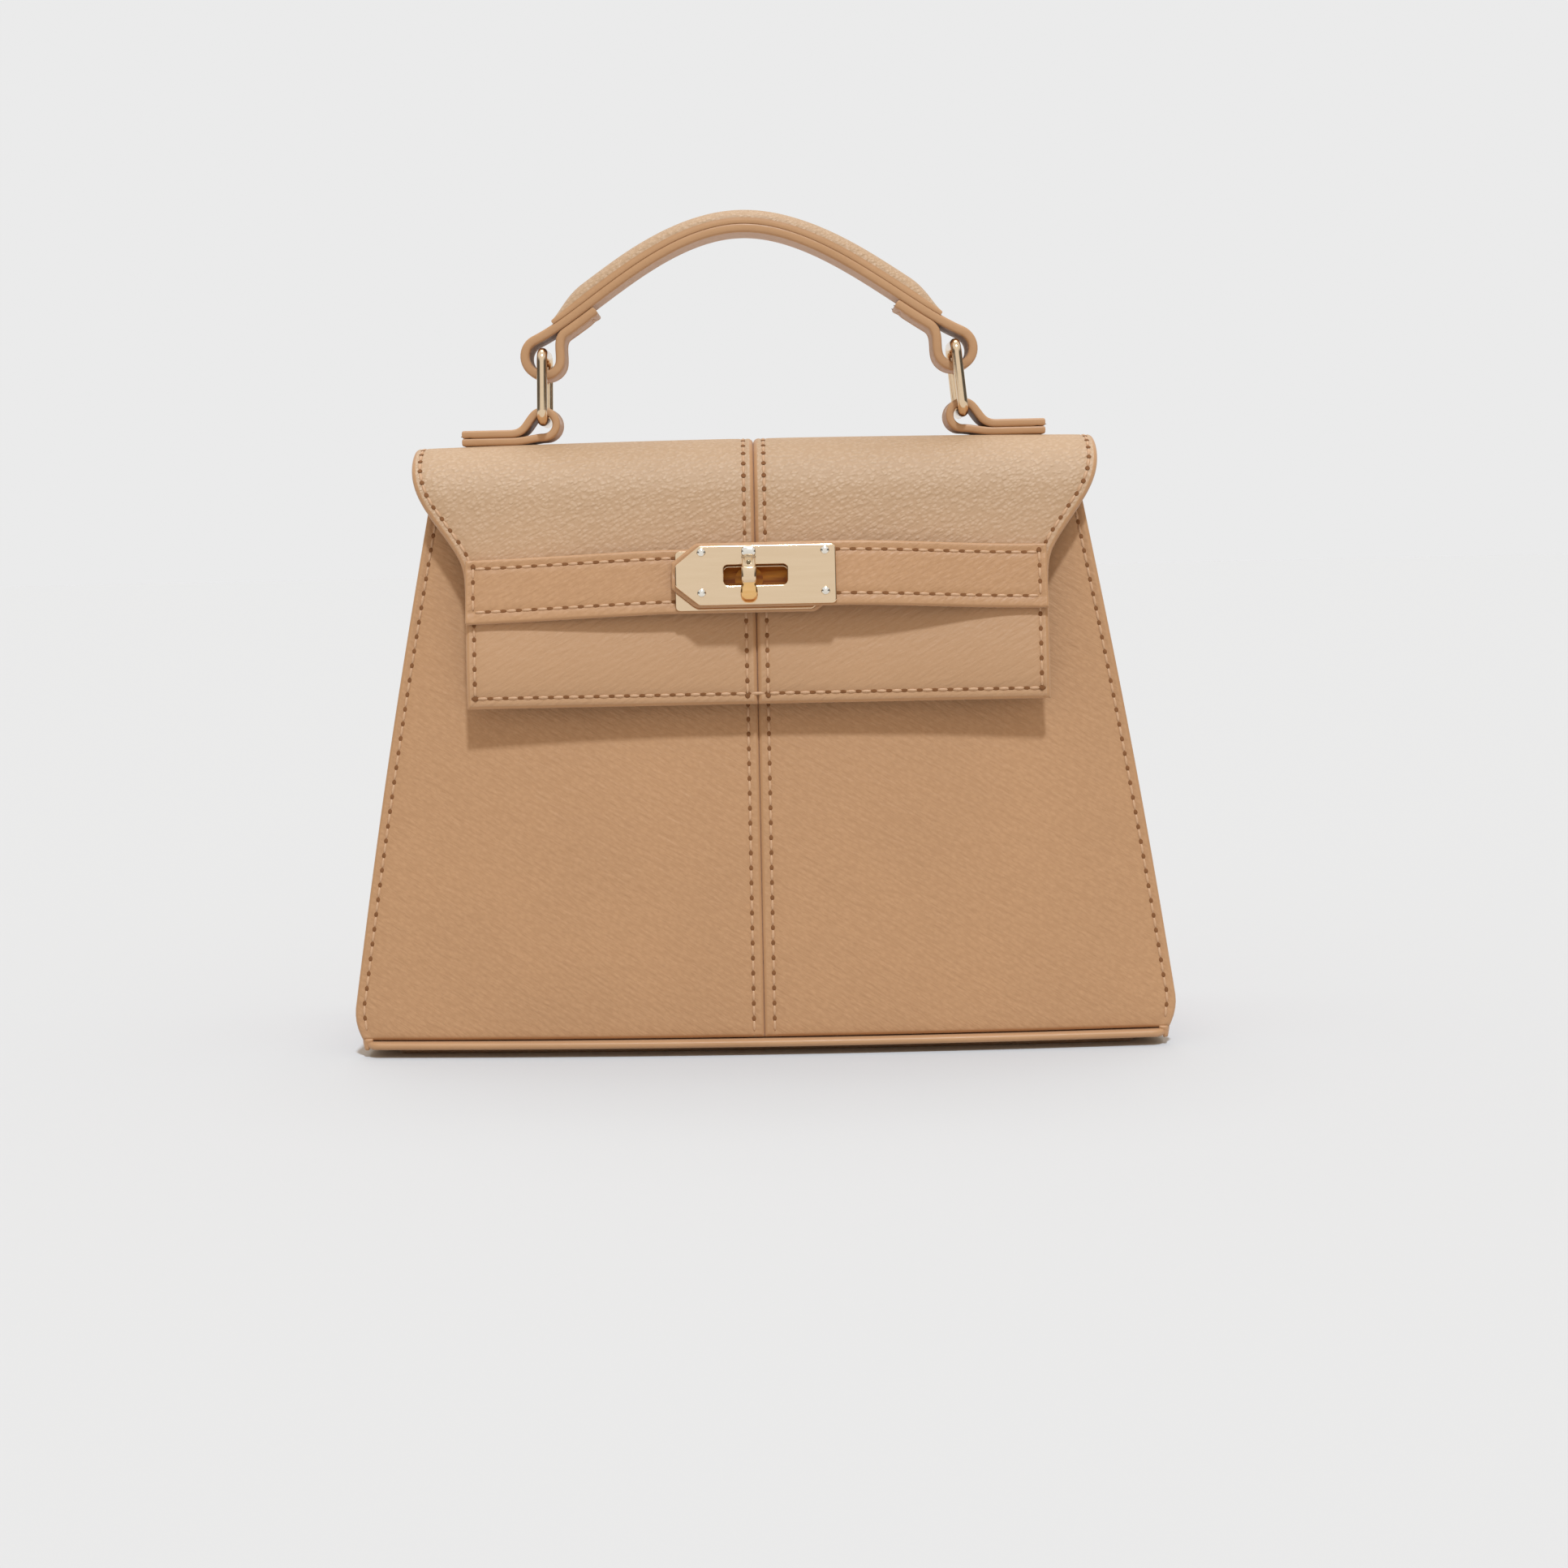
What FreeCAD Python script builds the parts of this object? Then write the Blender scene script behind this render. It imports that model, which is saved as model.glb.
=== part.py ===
import FreeCAD, Part
import math
import os
import re
import Sketcher

# Top handle bag in millimetres: +Z up, the front faces -Y, +X to the right seen from the front.
# The origin is on the floor under the middle of the base.

doc = FreeCAD.newDocument("top_handle_bag")
sheet = doc.addObject("Spreadsheet::Sheet", "sizes")

SIZES = {
    # bag body
    "base_width": 227.3,
    "base_depth": 94.0,
    "base_bulge": 5.0,
    "base_lip": 2.0,
    "corner_round": 4.0,
    "base_leather": 2.4,
    "board_thickness": 1.6,
    "board_margin": 9.0,
    "mouth_width": 180.0,
    "mouth_depth": 38.0,
    "panel_leather": 1.8,
    "gusset_leather": 1.4,
    "gusset_setback": 2.5,
    "gusset_fold": 9.0,
    "lining_cloth": 0.8,
    "lining_gap": 1.4,
    "facing_leather": 1.2,
    "facing_height": 22.0,
    "pocket_width": 110.0,
    "pocket_height": 55.0,
    "pocket_floor": 48.0,
    # flap
    "crown_height": 167.2,
    "front_tuck": 14.0,
    "back_wall": 13.2,
    "back_bend": 11.0,
    "front_bend": 20.0,
    "flap_stand": 3.7,
    "flap_flare": 3.7,
    "flap_length": 74.9,
    "flap_leather": 1.6,
    "flap_filler": 1.2,
    "flap_backing": 0.8,
    "flap_margin": 2.2,
    "wing_width": 190.0,
    "tongue_width": 158.8,
    "wing_start": 3.0,
    "wing_curve": 27.0,
    "wing_angle": 37.2,
    "hinge_gap": 0.3,
    # magnetic snap
    "snap_drop": 64.0,
    "snap_socket_width": 17.0,
    "snap_stud_width": 14.0,
    "snap_stud_height": 2.6,
    "snap_post_width": 4.0,
    "snap_clearance": 0.5,
    # straps and lock
    "lock_drop": 40.2,
    "lock_boss_height": 2.0,
    "lock_base_length": 28.0,
    "lock_base_height": 11.0,
    "lock_base_sheet": 1.0,
    "lock_rivet_pitch": 21.0,
    "lock_rivet_width": 2.0,
    "strap_height": 17.8,
    "strap_leather": 2.0,
    "strap_seat": 5.0,
    "strap_margin": 1.0,
    "strap_hang": 0.65,
    "plate_length": 43.6,
    "plate_height": 16.6,
    "plate_cut_length": 6.6,
    "plate_cut_height": 5.4,
    "rear_plate_sheet": 0.8,
    "front_plate_sheet": 1.3,
    "plate_bevel": 0.6,
    "plate_rivet_width": 2.2,
    "plate_rivet_span": 33.4,
    "plate_rivet_rise": 11.2,
    "rivet_dome": 0.6,
    "slot_length": 17.0,
    "slot_height": 5.6,
    "layer_gap": 0.2,
    "rear_drop": 1.6,
    "toggle_shift": 1.8,
    "toggle_length": 15.2,
    "toggle_width": 4.4,
    "toggle_end": 1.4,
    "toggle_crown": 2.2,
    "toggle_hub": 5.0,
    "spindle_width": 3.8,
    "spindle_washer": 7.0,
    "fit_clearance": 0.05,
    # rings, tabs and handle
    "pivot_span": 118.0,
    "ring_wire": 3.0,
    "ring_height": 19.0,
    "ring_depth": 21.5,
    "ring_corner": 3.0,
    "strap_width": 16.5,
    "tab_leather": 2.2,
    "tab_loop": 6.3,
    "tab_reach": 23.0,
    "fold_gap": 0.2,
    "ring_play": 0.3,
    "handle_leather": 3.0,
    "handle_loop": 6.4,
    "handle_rise": 35.5,
    "handle_bend": 49.5,
    "tail_length": 22.0,
    "cover_run": 32.0,
    "cover_dome": 4.0,
    "cover_leather": 1.2,
}
for row, (name, number) in enumerate(SIZES.items(), start=1):
    sheet.set(f"A{row}", name)
    sheet.set(f"B{row}", str(number))
    sheet.setAlias(f"B{row}", name)
doc.recompute()


# Helpers

def formula(text):
    """The text with every name of the sheet written as its cell."""

    def cell(word):
        return f"sizes.{word[0]}" if word[0] in SIZES else word[0]

    return re.sub(r"[a-z][a-z_]+", cell, text)


def value(text):
    """The number that a formula gives with the sheet's present values."""
    result = sheet.evalExpression(formula(text))
    return float(getattr(result, "Value", result))


def bind(thing, **formulas):
    """Binds properties of an object to formulas of the sheet."""
    for name, text in formulas.items():
        thing.setExpression(name.replace("__", "."), formula(text))


def origin_plane(body, role):
    return next(part for part in body.Origin.OriginFeatures if part.Role == role)


def new_body(label):
    body = doc.addObject("PartDesign::Body", label)
    body.Label = label
    return body


def new_sketch(body, role, offset=None):
    """A sketch on one of the body's own planes, moved along that plane's normal by a formula."""
    sketch = body.newObject("Sketcher::SketchObject", f"{body.Label}_sketch")
    sketch.AttachmentSupport = [(origin_plane(body, role), "")]
    sketch.MapMode = "FlatFace"
    if offset is not None:
        bind(sketch, AttachmentOffset__Base__z=offset)
    return sketch


def fix_number(sketch, kind, where, text):
    """One dimension of a sketch, bound to its formula."""
    index = sketch.addConstraint(Sketcher.Constraint(kind, *where, value(text)))
    sketch.setExpression(f"Constraints[{index}]", formula(text))


def arc_between(start, end, radius, turn):
    """The short arc from start to end, turning left or right; with its own first and last end."""
    chord = end - start
    side = FreeCAD.Vector(-chord.y, chord.x, 0).normalize()
    reach = math.sqrt(max(radius ** 2 - (chord.Length / 2) ** 2, 0))
    centre = start + chord * 0.5 + side * (reach if turn == "left" else -reach)
    first, last = (start, end) if turn == "left" else (end, start)
    begin = math.atan2(first.y - centre.y, first.x - centre.x)
    finish = math.atan2(last.y - centre.y, last.x - centre.x)
    if finish < begin:
        finish += 2 * math.pi
    return Part.ArcOfCircle(Part.Circle(centre, FreeCAD.Vector(0, 0, 1), radius), begin, finish)


def outline(sketch, corners, closed=True):
    """Lines and arcs through the corners. A corner with a radius and a turn is reached by an arc."""
    points = [FreeCAD.Vector(value(corner[0]), value(corner[1]), 0) for corner in corners]
    edges = []
    for number in range(0 if closed else 1, len(corners)):
        corner = corners[number]
        start = points[number - 1]
        end = points[number]
        if len(corner) == 2:
            index = sketch.addGeometry(Part.LineSegment(start, end), False)
            edges.append((index, 1, 2, number))
            continue
        index = sketch.addGeometry(arc_between(start, end, value(corner[2]), corner[3]), False)
        edges.append((index, 1, 2, number) if corner[3] == "left" else (index, 2, 1, number))
        fix_number(sketch, "Radius", (index,), corner[2])
    for place, (index, first, last, number) in enumerate(edges):
        if closed or place:
            before = edges[place - 1]
            sketch.addConstraint(Sketcher.Constraint("Coincident", before[0], before[2], index, first))
        else:
            fix_number(sketch, "DistanceX", (index, first), corners[0][0])
            fix_number(sketch, "DistanceY", (index, first), corners[0][1])
        fix_number(sketch, "DistanceX", (index, last), corners[number][0])
        fix_number(sketch, "DistanceY", (index, last), corners[number][1])


def circle(sketch, x, y, radius):
    middle = FreeCAD.Vector(value(x), value(y), 0)
    index = sketch.addGeometry(Part.Circle(middle, FreeCAD.Vector(0, 0, 1), value(radius)), False)
    fix_number(sketch, "Radius", (index,), radius)
    fix_number(sketch, "DistanceX", (index, 3), x)
    fix_number(sketch, "DistanceY", (index, 3), y)


def rectangle(sketch, left, right, low, high):
    outline(sketch, [(left, low), (right, low), (right, high), (left, high)])


def pad(body, sketch, length, symmetric=False, reverse=False):
    feature = body.newObject("PartDesign::Pad", f"{body.Label}_pad")
    feature.Profile = sketch
    feature.SideType = "Symmetric" if symmetric else "One side"
    feature.Reversed = reverse
    bind(feature, Length=length)
    doc.recompute()
    return feature


def pocket(body, sketch, along_normal):
    """Cuts the sketch through everything on one side of it; says so if nothing was cut."""
    volume = body.Tip.Shape.Volume
    feature = body.newObject("PartDesign::Pocket", f"{body.Label}_pocket")
    feature.Profile = sketch
    feature.Type = "ThroughAll"
    feature.Reversed = along_normal
    doc.recompute()
    if feature.Shape.Volume >= volume:
        raise RuntimeError(f"{body.Label}: a pocket cuts nothing")
    return feature


def loft(body, low, high, kind="PartDesign::AdditiveLoft"):
    feature = body.newObject(kind, f"{body.Label}_loft")
    feature.Profile = low
    feature.Sections = [high]
    feature.Ruled = True
    doc.recompute()
    return feature


def mirror(body, features, role):
    feature = body.newObject("PartDesign::Mirrored", f"{body.Label}_mirror")
    feature.Originals = features
    feature.MirrorPlane = (origin_plane(body, role), [""])
    body.Tip = feature
    doc.recompute()
    return feature


def edge_names(feature, wanted):
    """Names of the feature's edges whose middle point passes the test."""
    names = []
    for index, edge in enumerate(feature.Shape.Edges, start=1):
        if wanted(edge.valueAt((edge.FirstParameter + edge.LastParameter) / 2)):
            names.append(f"Edge{index}")
    return names


def round_edges(body, feature, names, radius, kind="PartDesign::Fillet"):
    rounded = body.newObject(kind, f"{body.Label}_edges")
    rounded.Base = (feature, names)
    if kind == "PartDesign::Fillet":
        bind(rounded, Radius=radius)
    else:
        bind(rounded, Size=radius)
    doc.recompute()
    return rounded


# Heights and widths that several pieces share

FOOT = "base_leather"
FRONT_TOP = "(crown_height - front_tuck)"
FLAP_THICKNESS = "(flap_leather + flap_filler + flap_backing)"
HINGE_RADIUS = f"({FLAP_THICKNESS} * 0.45)"
HINGE_Y = "(mouth_depth / 2 + hinge_gap)"
HINGE_Z = f"(crown_height - back_wall - hinge_gap - {HINGE_RADIUS})"
BACK_TOP = f"({HINGE_Z} - {HINGE_RADIUS})"
GUSSET_TOP = f"({BACK_TOP} - 2)"
LINING_FLOOR = f"({FOOT} + board_thickness)"
LINING_TOP = f"({GUSSET_TOP} - facing_height)"
PANEL_DEPTH = "(base_depth / 2 - base_lip)"
PANEL_TILT = f"atan2({PANEL_DEPTH} - mouth_depth / 2; {FRONT_TOP} - {FOOT})"
FLAP_TILT = f"({PANEL_TILT} + flap_flare * 1 deg)"


def rise(height):
    """How far up the front panel a height is: 0 at its foot, 1 at its top."""
    return f"(({height} - {FOOT}) / ({FRONT_TOP} - {FOOT}))"


def half_width(height):
    return f"(base_width / 2 + (mouth_width - base_width) / 2 * {rise(height)})"


def edge_depth(height):
    """Half the depth of the body at its side edges, where the panels do not bulge."""
    return f"({PANEL_DEPTH} - base_bulge + (mouth_depth / 2 - {PANEL_DEPTH} + base_bulge) * {rise(height)})"


def gusset_rise(height):
    """How far up the gusset a height is: 0 at its foot, 1 at its top."""
    return f"(({height} - {FOOT}) / ({GUSSET_TOP} - {FOOT}))"


def gusset_edge(height):
    """Where the gusset meets the panels: set in from their side edges, twice as far at the foot."""
    return f"({half_width(height)} - gusset_setback * (2 - {gusset_rise(height)}))"


def gusset_crease(height):
    """How far the gusset's middle is folded in."""
    return f"(gusset_fold * (0.1 + 0.9 * {gusset_rise(height)}))"


def bulge(height):
    return f"(base_bulge * (1 - {rise(height)}))"


def bow_radius(width, sag):
    """Radius of an arc that is a given sag deep over a half width."""
    return f"((({width}) ^ 2 + ({sag}) ^ 2) / (2 * ({sag})))"


# Bag body: the front and back panels, each in two halves that meet at the centre seam

def panel_section(body, height, side, face):
    """One level of a half panel, from the seam at x = 0 to the side edge."""
    sketch = new_sketch(body, "XY_Plane", height)
    edge = f"{side} * {half_width(height)}"
    outer_edge = f"{face} * {edge_depth(height)}"
    inner_edge = f"{face} * ({edge_depth(height)} - panel_leather)"
    outer_seam = f"{face} * ({edge_depth(height)} + {bulge(height)})"
    inner_seam = f"{face} * ({edge_depth(height)} + {bulge(height)} - panel_leather)"
    if value(bulge(height)) < 0.01:
        outline(sketch, [("0", inner_seam), ("0", outer_seam), (edge, outer_edge), (edge, inner_edge)])
        return sketch
    bow = bow_radius(half_width(height), bulge(height))
    out_turn, in_turn = ("right", "left") if side * face > 0 else ("left", "right")
    outline(sketch, [
        ("0", inner_seam, bow, in_turn),
        ("0", outer_seam),
        (edge, outer_edge, bow, out_turn),
        (edge, inner_edge),
    ])
    return sketch


def half_panel(label, side, face, top):
    body = new_body(label)
    loft(body, panel_section(body, FOOT, side, face), panel_section(body, top, side, face))
    corner = new_sketch(body, "XZ_Plane")
    above = f"({FOOT} + corner_round)"
    outside = f"{side} * ({half_width(FOOT)} + 1)"
    outline(corner, [
        (f"{side} * ({half_width(FOOT)} - corner_round)", FOOT),
        (f"{side} * {half_width(above)}", above, "corner_round * 1.1", "left" if side > 0 else "right"),
        (outside, above),
        (outside, f"{FOOT} - 1"),
        (f"{side} * ({half_width(FOOT)} - corner_round)", f"{FOOT} - 1"),
    ])
    pocket(body, corner, face < 0)
    return body


for side_name, side in (("left", -1), ("right", 1)):
    half_panel(f"back_panel_{side_name}", side, 1, BACK_TOP)

# The snap's post passes through the front panel at the seam
SNAP_Z = f"(crown_height - snap_drop * cos({FLAP_TILT}))"
for side_name, side in (("left", -1), ("right", 1)):
    front_half = half_panel(f"front_panel_{side_name}", side, -1, FRONT_TOP)
    snap_hole = new_sketch(front_half, "XZ_Plane")
    circle(snap_hole, "0", SNAP_Z, "snap_post_width / 2 + panel_leather * 0.3")
    pocket(front_half, snap_hole, True)


# Side gussets: folded inward along the middle, more at the top than at the foot

def gusset_section(body, height, side):
    sketch = new_sketch(body, "XY_Plane", height)
    edge = gusset_edge(height)
    crease = f"{edge} - {gusset_crease(height)}"
    depth = f"({edge_depth(height)} - panel_leather)"
    outline(sketch, [
        (f"{side} * {edge}", f"-{depth}"),
        (f"{side} * ({crease})", "0"),
        (f"{side} * {edge}", depth),
        (f"{side} * ({edge} - gusset_leather)", depth),
        (f"{side} * ({crease} - gusset_leather)", "0"),
        (f"{side} * ({edge} - gusset_leather)", f"-{depth}"),
    ])
    return sketch


for side_name, side in (("left", -1), ("right", 1)):
    gusset = new_body(f"gusset_{side_name}")
    loft(gusset, gusset_section(gusset, FOOT, side), gusset_section(gusset, GUSSET_TOP, side))


# Base panel with a lip that stands out under the front and back panels, and its stiffening board

base_panel = new_body("base_panel")
base_sketch = new_sketch(base_panel, "XY_Plane")
base_half = f"({half_width(FOOT)} - corner_round * 0.8)"
base_edge = f"({edge_depth(FOOT)} + base_lip)"
base_bow = bow_radius(base_half, "base_bulge")
outline(base_sketch, [
    (f"-{base_half}", f"-{base_edge}"),
    (base_half, f"-{base_edge}", base_bow, "left"),
    (base_half, base_edge),
    (f"-{base_half}", base_edge, base_bow, "left"),
])
base_pad = pad(base_panel, base_sketch, "base_leather")
upright = edge_names(base_pad, lambda point: abs(point.z - value("base_leather / 2")) < 0.01)
base_corners = round_edges(base_panel, base_pad, upright, "base_lip * 3")
upper = edge_names(base_corners, lambda point: abs(point.z - value("base_leather")) < 0.01)
round_edges(base_panel, base_corners, upper, "base_leather * 0.4")

base_board = new_body("base_board")
board_sketch = new_sketch(base_board, "XY_Plane", FOOT)
board_half = f"({half_width(FOOT)} - board_margin)"
board_edge = f"({edge_depth(FOOT)} - board_margin * 0.6)"
rectangle(board_sketch, f"-{board_half}", board_half, f"-{board_edge}", board_edge)
pad(base_board, board_sketch, "board_thickness")


# Lining: an open box of cloth whose sides follow the body and fold in with the gussets

def lining_section(body, height, inset):
    sketch = new_sketch(body, "XY_Plane", height)
    depth = f"({edge_depth(height)} - panel_leather - lining_gap - {inset})"
    side = f"({gusset_edge(height)} - gusset_leather - lining_gap - {inset})"
    fold = gusset_crease(height)
    outline(sketch, [
        (f"-{side}", f"-{depth}"),
        (side, f"-{depth}"),
        (f"{side} - {fold}", "0"),
        (side, depth),
        (f"-{side}", depth),
        (f"{fold} - {side}", "0"),
    ])
    return sketch


lining = new_body("lining")
loft(lining, lining_section(lining, LINING_FLOOR, "0"), lining_section(lining, LINING_TOP, "0"))
inner_floor = f"({LINING_FLOOR} + lining_cloth)"
loft(
    lining,
    lining_section(lining, inner_floor, "lining_cloth"),
    lining_section(lining, LINING_TOP, "lining_cloth"),
    "PartDesign::SubtractiveLoft",
)


# Leather facings at the mouth, inside the front and back panels above the lining

def facing_section(body, height, face, margin):
    sketch = new_sketch(body, "XY_Plane", height)
    outer = f"({edge_depth(height)} - panel_leather)"
    half = f"({half_width(height)} - {margin})"
    near, far = f"{face} * {outer}", f"{face} * ({outer} - facing_leather)"
    outline(sketch, [(f"-{half}", near), (half, near), (half, far), (f"-{half}", far)])
    return sketch


FACING_MARGIN = "(gusset_setback + gusset_leather + 2)"
FACING_FOOT = f"({LINING_TOP} + hinge_gap)"
for face_name, face, top in (("front", -1, FRONT_TOP), ("back", 1, BACK_TOP)):
    facing = new_body(f"{face_name}_facing")
    facing_foot = facing_section(facing, FACING_FOOT, face, FACING_MARGIN)
    loft(facing, facing_foot, facing_section(facing, top, face, FACING_MARGIN))


# Slip pocket on the inside of the lining's back

def pocket_section(body, height):
    sketch = new_sketch(body, "XY_Plane", height)
    wall = f"({edge_depth(height)} - panel_leather - lining_gap - lining_cloth)"
    half = "(pocket_width / 2)"
    outline(sketch, [
        (f"-{half}", wall),
        (half, wall),
        (half, f"{wall} - lining_cloth"),
        (f"-{half}", f"{wall} - lining_cloth"),
    ])
    return sketch


inner_pocket = new_body("inner_pocket")
pocket_foot = pocket_section(inner_pocket, "pocket_floor")
loft(inner_pocket, pocket_foot, pocket_section(inner_pocket, "(pocket_floor + pocket_height)"))


# Rolled hinge fold along the top of the back panel; the flap turns about its middle

hinge_fold = doc.addObject("Part::Cylinder", "hinge_fold")
hinge_fold.Label = "hinge_fold"
hinge_fold.Placement.Rotation = FreeCAD.Rotation(FreeCAD.Vector(0, 1, 0), 90)
bind(hinge_fold, Radius=HINGE_RADIUS, Height="mouth_width", Placement__Base__x="-mouth_width / 2")
bind(hinge_fold, Placement__Base__y=HINGE_Y, Placement__Base__z=HINGE_Z)


# Flap: one bent section in three layers, cut to wings and a tongue. Its front plane meets its top
# in a sharp corner before it is bent; lengths down the front start at that corner.

FRONT_CORNER = "(-(mouth_depth / 2 + flap_stand))"
BEND_RUN = f"(front_bend * tan((90 deg - {FLAP_TILT}) / 2))"


def flap_strip(outer, inner, length, back):
    """The outline in Y and Z of a layer between two depths under the flap's outer face."""

    def line(depth):
        lean = f"sin({FLAP_TILT})"
        drop = f"cos({FLAP_TILT})"
        wall = f"mouth_depth / 2 - {depth}"
        under = f"crown_height - {depth}"
        return {
            "back": (wall, back),
            "back_high": (wall, "crown_height - back_bend"),
            "top_back": ("mouth_depth / 2 - back_bend", under),
            "top_front": (f"{FRONT_CORNER} + {BEND_RUN}", under),
            "front_high": (
                f"{FRONT_CORNER} - {BEND_RUN} * {lean} + {depth} * {drop}",
                f"crown_height - {BEND_RUN} * {drop} - {depth} * {lean}",
            ),
            "front_low": (
                f"{FRONT_CORNER} - {length} * {lean} + {depth} * {drop}",
                f"crown_height - {length} * {drop} - {depth} * {lean}",
            ),
        }

    far = line(outer)
    near = line(inner)
    return [
        far["back"],
        far["back_high"],
        far["top_back"] + (f"back_bend - {outer}", "left"),
        far["top_front"],
        far["front_high"] + (f"front_bend - {outer}", "left"),
        far["front_low"],
        near["front_low"],
        near["front_high"],
        near["top_front"] + (f"front_bend - {inner}", "right"),
        near["top_back"],
        near["back_high"] + (f"back_bend - {inner}", "right"),
        near["back"],
    ]


def cut_wing(body, side, margin):
    """Cuts the front from the wing in to the tongue on one side, a margin inside the flap's edge."""
    wing = f"(wing_width / 2 - {margin})"
    tongue = f"(tongue_width / 2 - {margin})"
    begin = f"(crown_height - wing_start - {margin} / 2)"
    curve_in = "(wing_curve * (1 - cos(wing_angle)))"
    curve_down = "(wing_curve * sin(wing_angle))"
    slope_end = f"{begin} - {curve_down} - ({wing} - {curve_in} - {tongue}) / tan(wing_angle)"
    below = "crown_height - flap_length - 5"
    outside = f"{side} * ({wing} + 8)"
    sketch = new_sketch(body, "XZ_Plane")
    outline(sketch, [
        (f"{side} * {wing}", begin),
        (f"{side} * ({wing} - {curve_in})", f"{begin} - {curve_down}",
         "wing_curve", "right" if side > 0 else "left"),
        (f"{side} * {tongue}", slope_end),
        (f"{side} * {tongue}", below),
        (outside, below),
        (outside, begin),
    ])
    pocket(body, sketch, True)


FLAP_BACK = "(crown_height - back_wall)"


def lock_holes(body, clearance):
    """Holes down the front for the toggle's spindle and the lock's two rivets, seen from the front."""
    sketch = new_sketch(body, "XZ_Plane")
    height = f"crown_height - lock_drop * cos({FLAP_TILT})"
    circle(sketch, "-toggle_shift", height, f"spindle_width / 2 + {clearance}")
    for end in (-1, 1):
        circle(sketch, f"-toggle_shift + {end} * lock_rivet_pitch / 2", height,
               f"lock_rivet_width / 2 + {clearance}")
    pocket(body, sketch, True)


HOLE_PLAY = f"({FLAP_THICKNESS} * 0.35)"
for side_name, side in (("left", -1), ("right", 1)):
    flap_half = new_body(f"flap_{side_name}")
    flap_sketch = new_sketch(flap_half, "YZ_Plane")
    outline(flap_sketch, flap_strip("0", "flap_leather", "flap_length", FLAP_BACK))
    pad(flap_half, flap_sketch, "wing_width / 2", reverse=side < 0)
    cut_wing(flap_half, side, "0")
    lock_holes(flap_half, HOLE_PLAY)

UNDER_LEATHER = "flap_leather"
UNDER_FILLER = "(flap_leather + flap_filler)"
for label, outer, inner in (
    ("flap_filler", UNDER_LEATHER, UNDER_FILLER),
    ("flap_lining", UNDER_FILLER, FLAP_THICKNESS),
):
    layer = new_body(label)
    layer_sketch = new_sketch(layer, "YZ_Plane")
    layer_back = f"({FLAP_BACK} + flap_margin / 2)"
    outline(layer_sketch, flap_strip(outer, inner, "(flap_length - flap_margin)", layer_back))
    pad(layer, layer_sketch, "wing_width - 2 * flap_margin", symmetric=True)
    cut_wing(layer, -1, "flap_margin")
    cut_wing(layer, 1, "flap_margin")
    lock_holes(layer, HOLE_PLAY)


# Everything on the flap's front is drawn lying on its outer face: x to the right, z up the
# front from the sharp corner, and -y out of the face.

def lay_on_flap(thing, drop="0"):
    thing.Placement.Rotation = FreeCAD.Rotation(FreeCAD.Vector(-1, 0, 0), 1)
    bind(thing, Placement__Rotation__Angle=FLAP_TILT)
    bind(thing, Placement__Base__y=f"{FRONT_CORNER} - {drop} * sin({FLAP_TILT})")
    bind(thing, Placement__Base__z=f"crown_height - {drop} * cos({FLAP_TILT})")


def disc(label, width, near, far):
    """A round piece standing out of the flap's face between two heights above it."""
    body = new_body(label)
    sketch = new_sketch(body, "XZ_Plane", near)
    circle(sketch, "0", "0", f"{width} / 2")
    pad(body, sketch, f"{far} - {near}")
    return body


# Magnetic snap: the stud under the flap's lining, the socket on the front panel

stud_face = f"(-{FLAP_THICKNESS} - snap_stud_height)"
snap_stud = disc("snap_stud", "snap_stud_width", stud_face, f"(-{FLAP_THICKNESS})")
lay_on_flap(snap_stud, "snap_drop")

PANEL_Y = f"(-({PANEL_DEPTH} + (mouth_depth / 2 - {PANEL_DEPTH}) * {rise(SNAP_Z)}))"
FLAP_INSIDE_Y = f"({FRONT_CORNER} - snap_drop * sin({FLAP_TILT}) + {FLAP_THICKNESS} / cos({FLAP_TILT}))"
SOCKET_ROOM = f"({PANEL_Y} - {FLAP_INSIDE_Y} - snap_stud_height / cos({FLAP_TILT}) - snap_clearance)"
SOCKET_HEIGHT = f"({SOCKET_ROOM} * cos({PANEL_TILT}) - snap_socket_width / 2 * sin(flap_flare))"


def lay_on_panel(thing):
    thing.Placement.Rotation = FreeCAD.Rotation(FreeCAD.Vector(-1, 0, 0), 1)
    bind(thing, Placement__Rotation__Angle=PANEL_TILT)
    bind(thing, Placement__Base__y=PANEL_Y, Placement__Base__z=SNAP_Z)


snap_socket = disc("snap_socket", "snap_socket_width", "0", SOCKET_HEIGHT)
post_sketch = new_sketch(snap_socket, "XZ_Plane", "-panel_leather")
circle(post_sketch, "0", "0", "snap_post_width / 2")
pad(snap_socket, post_sketch, "panel_leather")
lay_on_panel(snap_socket)

washer_far = "(-panel_leather - lining_gap * 0.6)"
snap_washer = disc("snap_washer", "snap_socket_width * 0.7", washer_far, "(-panel_leather)")
lay_on_panel(snap_washer)


# Lock stack, heights above the flap's face

REAR_STRAP = "(lock_boss_height + layer_gap)"
REAR_PLATE = f"({REAR_STRAP} + strap_leather)"
FRONT_STRAP = f"({REAR_PLATE} + rear_plate_sheet + layer_gap)"
FRONT_PLATE = f"({FRONT_STRAP} + strap_leather)"
PLATE_FACE = f"({FRONT_PLATE} + front_plate_sheet)"
TOGGLE_BACK = f"({PLATE_FACE} + rivet_dome + layer_gap)"


# Closing straps: sewn down at the tongue's edge, rising to the lock, with a cut tip and a slot.
# The left strap lies under the right one and a little lower, and both hang a little below their
# plates; the slots line up on the toggle.

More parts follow.
